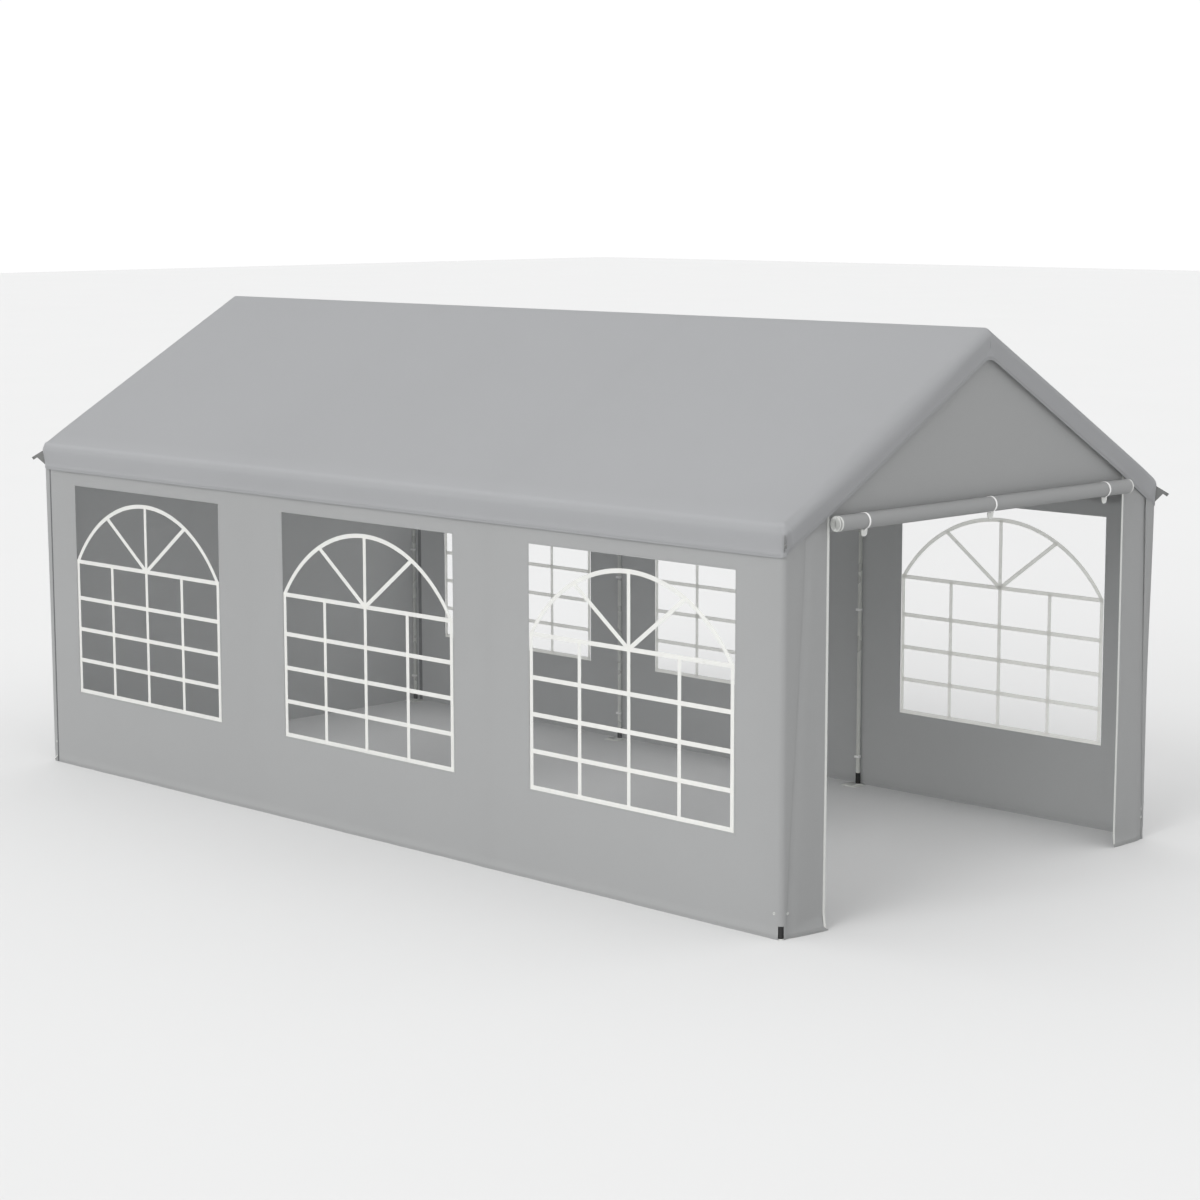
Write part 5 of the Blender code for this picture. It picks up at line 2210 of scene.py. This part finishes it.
@dataclass
class RolledDoor:
    """The door panel rolled up over the doorway, held by three straps with toggles."""

    plan: TentPlan
    axis_y: float = -3.075
    axis_z: float = 1.965
    radius: float = 0.039
    hollow_half: tuple[float, float] = (0.003, 0.025)
    turns: float = 11.25
    turn_steps: int = 30
    panel_step: float = 0.16
    core_share: float = 0.83
    outer_left: float = -1.178
    inner_left: float = -1.190
    outer_right: float = 1.191
    tape_width: float = 0.010
    thickness: float = 0.0012
    strap_width: float = 0.011
    strap_thickness: float = 0.0018
    strap_places: tuple[float, float, float] = (-0.979, 0.0015, 0.975)
    strap_turn: tuple[float, float] = (72, -158)
    strap_step: float = 7
    strap_tail: float = 0.006
    toggle_shift: float = 0.001
    toggle_edge: tuple[tuple[float, float], ...] = (
        (0.023, 0.000), (0.0225, -0.008), (0.019, -0.023), (0.0155, -0.030), (0.009, -0.034))
    toggle_half: float = 0.003
    toggle_gap: float = 0.002
    toggle_rounding: float = 0.0008

    def shift(self, share: float) -> float:
        """Return how far the cloth at a share of its length from the core has slipped to the left."""
        slip = self.outer_left - self.inner_left
        return slip * smoothed((self.core_share + 0.035 - share) / 0.07)

    def spiral(self) -> list[Point]:
        """Return share, y and z along the rolled cloth, from its flattened core to its outermost turn.

        Returns:
            The share, y and z of each point.
        """
        steps = int(self.turns * self.turn_steps)
        path = []
        for i in range(steps + 1):
            share = i / steps
            angle = math.pi / 2 - FULL_TURN * self.turns * (1 - share)
            across, up = (half + (self.radius - half) * share for half in self.hollow_half)
            path.append((share, self.axis_y + across * math.sin(angle), self.axis_z + up * math.cos(angle)))
        return path

    def rows(self, offsets: Sequence[float]) -> MarkedRows:
        """Return the cloth's rows at distances from its left edge, and each row's place along the cloth.

        Args:
            offsets: The distances from the left edge.

        Returns:
            The rows, and the place of each.
        """
        path = self.spiral()
        rows = [[(self.outer_left - self.shift(share) + offset, y, z) for offset in offsets] for share, y, z in path]
        return rows, run_lengths([(y, z) for _, y, z in path]).tolist()

    def build(self, finishes: Finishes) -> None:
        """Make the rolled panel, its edge tapes, the straps and the toggles.

        Args:
            finishes: The tent's materials.
        """
        width = self.outer_right - self.outer_left
        inner_marks = spread(self.tape_width, width - self.tape_width, self.panel_step)
        rows, places = self.rows(inner_marks)
        flat = [[(mark, place) for mark in inner_marks] for place in places]
        seam = np.zeros((len(rows), len(inner_marks)))
        seam[:4] = 1.0
        panel = ClothGrid("rolled_door_panel", rows, flat, seam)
        door = settle(panel.to_object(finishes.wall, self.thickness), Slot.WALL, ("door_roll",))
        tapes = [self.build_tape(name, marks, finishes) for name, marks in
                 (("rolled_door_left_tape", [0.0, self.tape_width]),
                  ("rolled_door_right_tape", [width - self.tape_width, width]))]
        width - 2 * self.tape_width
        for name, x in zip(("left", "middle", "right"), self.strap_places):
            self.build_strap(name, x, finishes)

    def build_tape(self, name: str, marks: Sequence[float], finishes: Finishes) -> bpy.types.Object:
        """Make the pale zip tape that is rolled up along one edge of the panel.

        Args:
            name: The piece's name.
            marks: Its edges' distances from the left edge.
            finishes: The tent's materials.

        Returns:
            The tape.
        """
        rows, places = self.rows(marks)
        tape = ClothGrid(name, rows, [[(mark, place) for mark in marks] for place in places])
        return settle(tape.to_object(finishes.zip_tape, self.thickness), Slot.WEBBING)

    def build_strap(self, name: str, x: float, finishes: Finishes) -> None:
        """Make one strap from behind the roll, over its top and front to the toggle under it.

        Args:
            name: Which strap it is.
            x: Its middle.
            finishes: The tent's materials.
        """
        radius = self.radius + self.strap_thickness
        path = []
        for degrees in spread(*self.strap_turn, self.strap_step):
            angle = math.radians(degrees)
            path.append((self.axis_y + radius * math.sin(angle), self.axis_z + radius * math.cos(angle)))
        path.append((self.axis_y - self.strap_tail, self.axis_z - radius - self.strap_tail))
        lengths = run_lengths(path)
        points, flat = [], []
        for (y, z), length in zip(path, lengths):
            aside = self.toggle_shift * smoothed((length / lengths[-1] - 0.7) / 0.3)
            half = self.strap_width / 2
            points.append([(x + aside - half, y, z), (x + aside + half, y, z)])
            flat.append([(-half, length), (half, length)])
        strap = ClothGrid(f"door_strap_loop_{name}", points, flat, flip=True)
        loop = settle(strap.to_object(finishes.tape, self.strap_thickness), Slot.WEBBING, (f"door_strap_{name}",))
        self.build_toggle(name, x, finishes)

    def build_toggle(self, name: str, x: float, finishes: Finishes) -> bpy.types.Object:
        """Make the flat toggle under the roll, narrower at its foot.

        Args:
            name: Which strap it hangs on.
            x: The strap's middle.
            finishes: The tent's materials.

        Returns:
            The toggle.
        """
        edge = list(self.toggle_edge)
        outline = [(-edge[0][0], edge[0][1])] + edge + [(-across, z) for across, z in reversed(edge[1:])]
        count = len(outline)
        top = self.axis_z - self.radius - self.toggle_gap
        points = [(x + self.toggle_shift + across, self.axis_y + self.toggle_half * way, top + z)
                  for way in (-1, 1) for across, z in outline]
        faces = [tuple(range(count - 1, -1, -1)), tuple(range(count, 2 * count))]
        faces += [((i + 1) % count + count, i + count, i, (i + 1) % count) for i in range(count)]
        toggle = faced_object(f"door_toggle_{name}", points, faces, finishes.zip_tape)
        soften = toggle.modifiers.new("soften", "BEVEL")
        soften.width = self.toggle_rounding
        soften.segments = 2
        shade_by_angle(apply_modifiers(toggle).data, 60.0)
        return settle(toggle, Slot.WEBBING)


# Frame

@dataclass
class SteelFrame:
    """The tubes and fittings, smooth-shaded, with screws in the fittings, ties, and black sleeves on the posts' feet,
    whose black paints the shade in the corner notches.
    """

    plan: TentPlan
    sleeve_middle: float = 0.064
    sleeve_radius: float = 0.0150
    tie_heights: tuple[float, ...] = (0.168, 1.055)
    rafter_ties: tuple[float, ...] = (0.55, 1.10)
    rail_ties: tuple[float, ...] = (0.25, 0.5, 0.75)
    foot_middle: float = 0.037
    weld_reach: float = 0.00005

    def build(self, finishes: Finishes, small: Haberdashery) -> None:
        """Dress every tube and fitting, then add the screws, ties and foot sleeves.

        Args:
            finishes: The tent's materials.
            small: The trees of the small parts.
        """
        steel_names = ("post", "rail", "rafter", "fitting")
        nodes = [name for name in sorted(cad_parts) if any(word in name for word in steel_names)]
        for name in nodes:
            self.dress(name, finishes.steel)
        put_on(small.screws, "fitting_screws", self.screw_places(), Slot.STEEL)
        put_on(small.ties, "tube_ties", self.tie_places(), Slot.WEBBING)
        # Black sleeves on the posts' feet, which paint the shade seen through the notches at the corners.
        feet = [Spot(Vector((sign * self.plan.post_x, y, self.foot_middle)), Vector((0, 0, 1)))
                for y in self.plan.rows for sign in (-1, 1)]
        put_on(small.feet, "foot_sleeves_painted_shade", feet, Slot.STEEL)

    def dress(self, node: str, material: bpy.types.Material) -> None:
        """Put a merged, smooth-shaded copy of one solid in its place.

        Args:
            node: The solid's name.
            material: Its material.
        """
        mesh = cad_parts[node].data.copy()
        mesh.name = f"{node}_steel"
        piece = new_object(f"{node}_steel", mesh)
        merge = piece.modifiers.new("merge", "WELD")
        merge.merge_threshold = self.weld_reach
        apply_modifiers(piece)
        piece.data.materials.clear()
        piece.data.materials.append(material)
        shade_by_angle(piece.data, 40.0)
        settle(piece, Slot.STEEL, (node,))

    def screw_places(self) -> list[Spot]:
        """Return a screw's place and facing for each arm of a fitting.

        Returns:
            The places.
        """
        plan = self.plan
        places = []
        for row, y in enumerate(plan.rows):
            for sign in (-1, 1):
                up_slope, under_slope = plan.slope_ways(sign)
                eave = Vector((sign * plan.post_x, y, plan.eave_z))
                ridge = Vector((0, y, plan.ridge_z))
                sleeves = [(eave, Vector((0, 0, -1)), Vector((-sign, 0, 0))), (eave, up_slope, under_slope),
                           (ridge, -up_slope, under_slope)]
                for way in (-1, 1):
                    if not (row == 0 and way < 0) and not (row == len(plan.rows) - 1 and way > 0):
                        sleeves.append((eave, Vector((0, way, 0)), Vector((-sign, 0, 0))))
                        if sign > 0:
                            sleeves.append((ridge, Vector((0, way, 0)), Vector((0, 0, -1))))
                for centre, along, facing in sleeves:
                    foot = centre + along * self.sleeve_middle + facing * self.sleeve_radius
                    places.append(Spot(foot, facing, along))
        return places

    def tie_places(self) -> list[Spot]:
        """Return where the walls and the cover are tied to the tubes, with the tubes' ways and the way inwards.

        Returns:
            The places.
        """
        plan = self.plan
        spots = []
        for y in plan.rows:
            for sign in (-1, 1):
                inwards = Vector((-sign, 0, 0))
                spots += [Spot(Vector((sign * plan.post_x, y, z)), Vector((0, 0, 1)), inwards)
                          for z in self.tie_heights]
                up_slope, under_slope = plan.slope_ways(sign)
                foot = Vector((sign * plan.post_x, y, plan.eave_z))
                spots += [Spot(foot + up_slope * reach, up_slope, under_slope) for reach in self.rafter_ties]
        for low, high in zip(plan.rows, plan.rows[1:]):
            for share in self.rail_ties:
                y = low + (high - low) * share
                spots += [Spot(Vector((sign * plan.post_x, y, plan.eave_z)), Vector((0, 1, 0)),
                               Vector((-sign, 0, 0))) for sign in (-1, 1)]
                spots.append(Spot(Vector((0, y, plan.ridge_z)), Vector((0, 1, 0)), Vector((0, 0, -1))))
        return spots


@dataclass
class CornerEyelets:
    """Pale eyelets beside the notch at the foot of each corner."""

    plan: TentPlan
    inset: float = 0.045
    height: float = 0.125
    proud: float = 0.0008

    def build(self, small: Haberdashery) -> None:
        """Put an eyelet on each side of every corner.

        Args:
            small: The trees of the small parts.
        """
        plan, proud = self.plan, self.proud
        places = []
        for corner in Corner:
            sign_x, sign_y = corner.value
            side = Vector((sign_x * (plan.wall_x + proud), sign_y * (plan.wall_y - self.inset), self.height))
            end = Vector((sign_x * (plan.wall_x - self.inset), sign_y * (plan.wall_y + proud), self.height))
            places += [Spot(side, Vector((sign_x, 0, 0)), Vector((0, 0, 1))),
                       Spot(end, Vector((0, sign_y, 0)), Vector((0, 0, 1)))]
        put_on(small.eyelets, "corner_eyelets", places, Slot.WEBBING)


# Studio

@dataclass
class Studio:
    """A plain pale floor, soft light and the camera at the photograph's angle."""

    place: tuple[float, float, float] = (-11.2488, -11.6290, 3.5404)
    yaw: float = 44.815
    tilt: float = -8.358
    roll: float = -0.1085
    lens: float = 84.503
    sensor: float = 36.0
    floor_half: float = 90.0
    floor_level: float = -0.0005
    sky: float = 1.02
    sun_strength: float = 1.45
    sun_from: tuple[float, float, float] = (-0.90, -0.05, 0.43)
    sun_angle: float = 40.0

    def build(self) -> None:
        """Make the floor, the light and the camera."""
        self.build_floor()
        self.build_light()
        self.build_camera()

    def build_floor(self) -> None:
        """Lay the floor just under the tent."""
        half, level = self.floor_half, self.floor_level
        points = [(-half, -half, level), (half, -half, level), (half, half, level), (-half, half, level)]
        faced_object("studio_floor", points, [(0, 1, 2, 3)], StudioFloor("pale_floor").material())

    def build_light(self) -> None:
        """Light the tent from all round, with a soft lamp on its left."""
        world = bpy.data.worlds.new("studio")
        world.use_nodes = True
        background = world.node_tree.nodes["Background"]
        background.inputs["Color"].default_value = (1.0, 1.0, 1.0, 1.0)
        background.inputs["Strength"].default_value = self.sky
        bpy.context.scene.world = world
        lamp = bpy.data.lights.new("soft_lamp", "SUN")
        lamp.energy = self.sun_strength
        lamp.angle = math.radians(self.sun_angle)
        holder = bpy.data.objects.new("soft_lamp", lamp)
        holder.rotation_mode = "QUATERNION"
        holder.rotation_quaternion = Vector(self.sun_from).to_track_quat("Z", "Y")
        bpy.context.scene.collection.objects.link(holder)
        bpy.context.scene.view_settings.view_transform = "Standard"

    def build_camera(self) -> None:
        """Place the camera where the photograph was taken from."""
        yaw, tilt, roll = (math.radians(angle) for angle in (self.yaw, self.tilt, self.roll))
        ahead = Vector((math.sin(yaw) * math.cos(tilt), math.cos(yaw) * math.cos(tilt), math.sin(tilt)))
        right = Vector((math.cos(yaw), -math.sin(yaw), 0))
        up = right.cross(ahead)
        rolled_right = right * math.cos(roll) + up * math.sin(roll)
        rolled_up = up * math.cos(roll) - right * math.sin(roll)
        data = bpy.data.cameras.new("camera")
        data.sensor_width = self.sensor
        data.lens = self.lens
        data.clip_end = 500.0
        camera = bpy.data.objects.new("camera", data)
        turn = Matrix((rolled_right, rolled_up, -ahead)).transposed().to_4x4()
        camera.matrix_world = Matrix.Translation(Vector(self.place)) @ turn
        bpy.context.scene.collection.objects.link(camera)
        bpy.context.scene.camera = camera


def write_sizes() -> None:
    """Update the view layer; nothing is written."""
    bpy.context.view_layer.update()


def main() -> None:
    """Build the looks in order: studio, cover, walls, front, door, frame and eyelets."""
    logging.basicConfig(level=logging.INFO, format="%(name)s %(message)s")
    Studio().build()
    plan = TentPlan.from_frame()
    finishes = Finishes.make()
    small = Haberdashery(finishes)
    RoofCover(plan).build(finishes, small)
    bars = WindowLattice().tree(finishes.bars)
    held = (0.0, plan.wall_back + plan.corner_y)
    for side, phase, edge, swell in (("left", 0.3, LEFT_EDGE, 0.0), ("right", 1.9, RIGHT_EDGE, 0.007)):
        cloth = WallCloth(plan.wall_top, phase=phase, held_at=held)
        LongWall(plan, side, cloth, edge, corner_swell=swell).build(finishes, small, bars)
    start = plan.corner_y - plan.back_return + plan.corner_radius * math.pi / 2
    BackWall(plan, WallCloth(plan.gable_top, phase=0.9, held_at=(start, start + 2 * plan.corner_x))).build(
        finishes, small)
    FrontPanels(plan, WallCloth(plan.wall_top, wave=0.0014, phase=2.4)).build(finishes, small)
    RolledDoor(plan).build(finishes)
    SteelFrame(plan).build(finishes, small)
    CornerEyelets(plan).build(small)
    write_sizes()


if __name__ == "__main__":
    main()
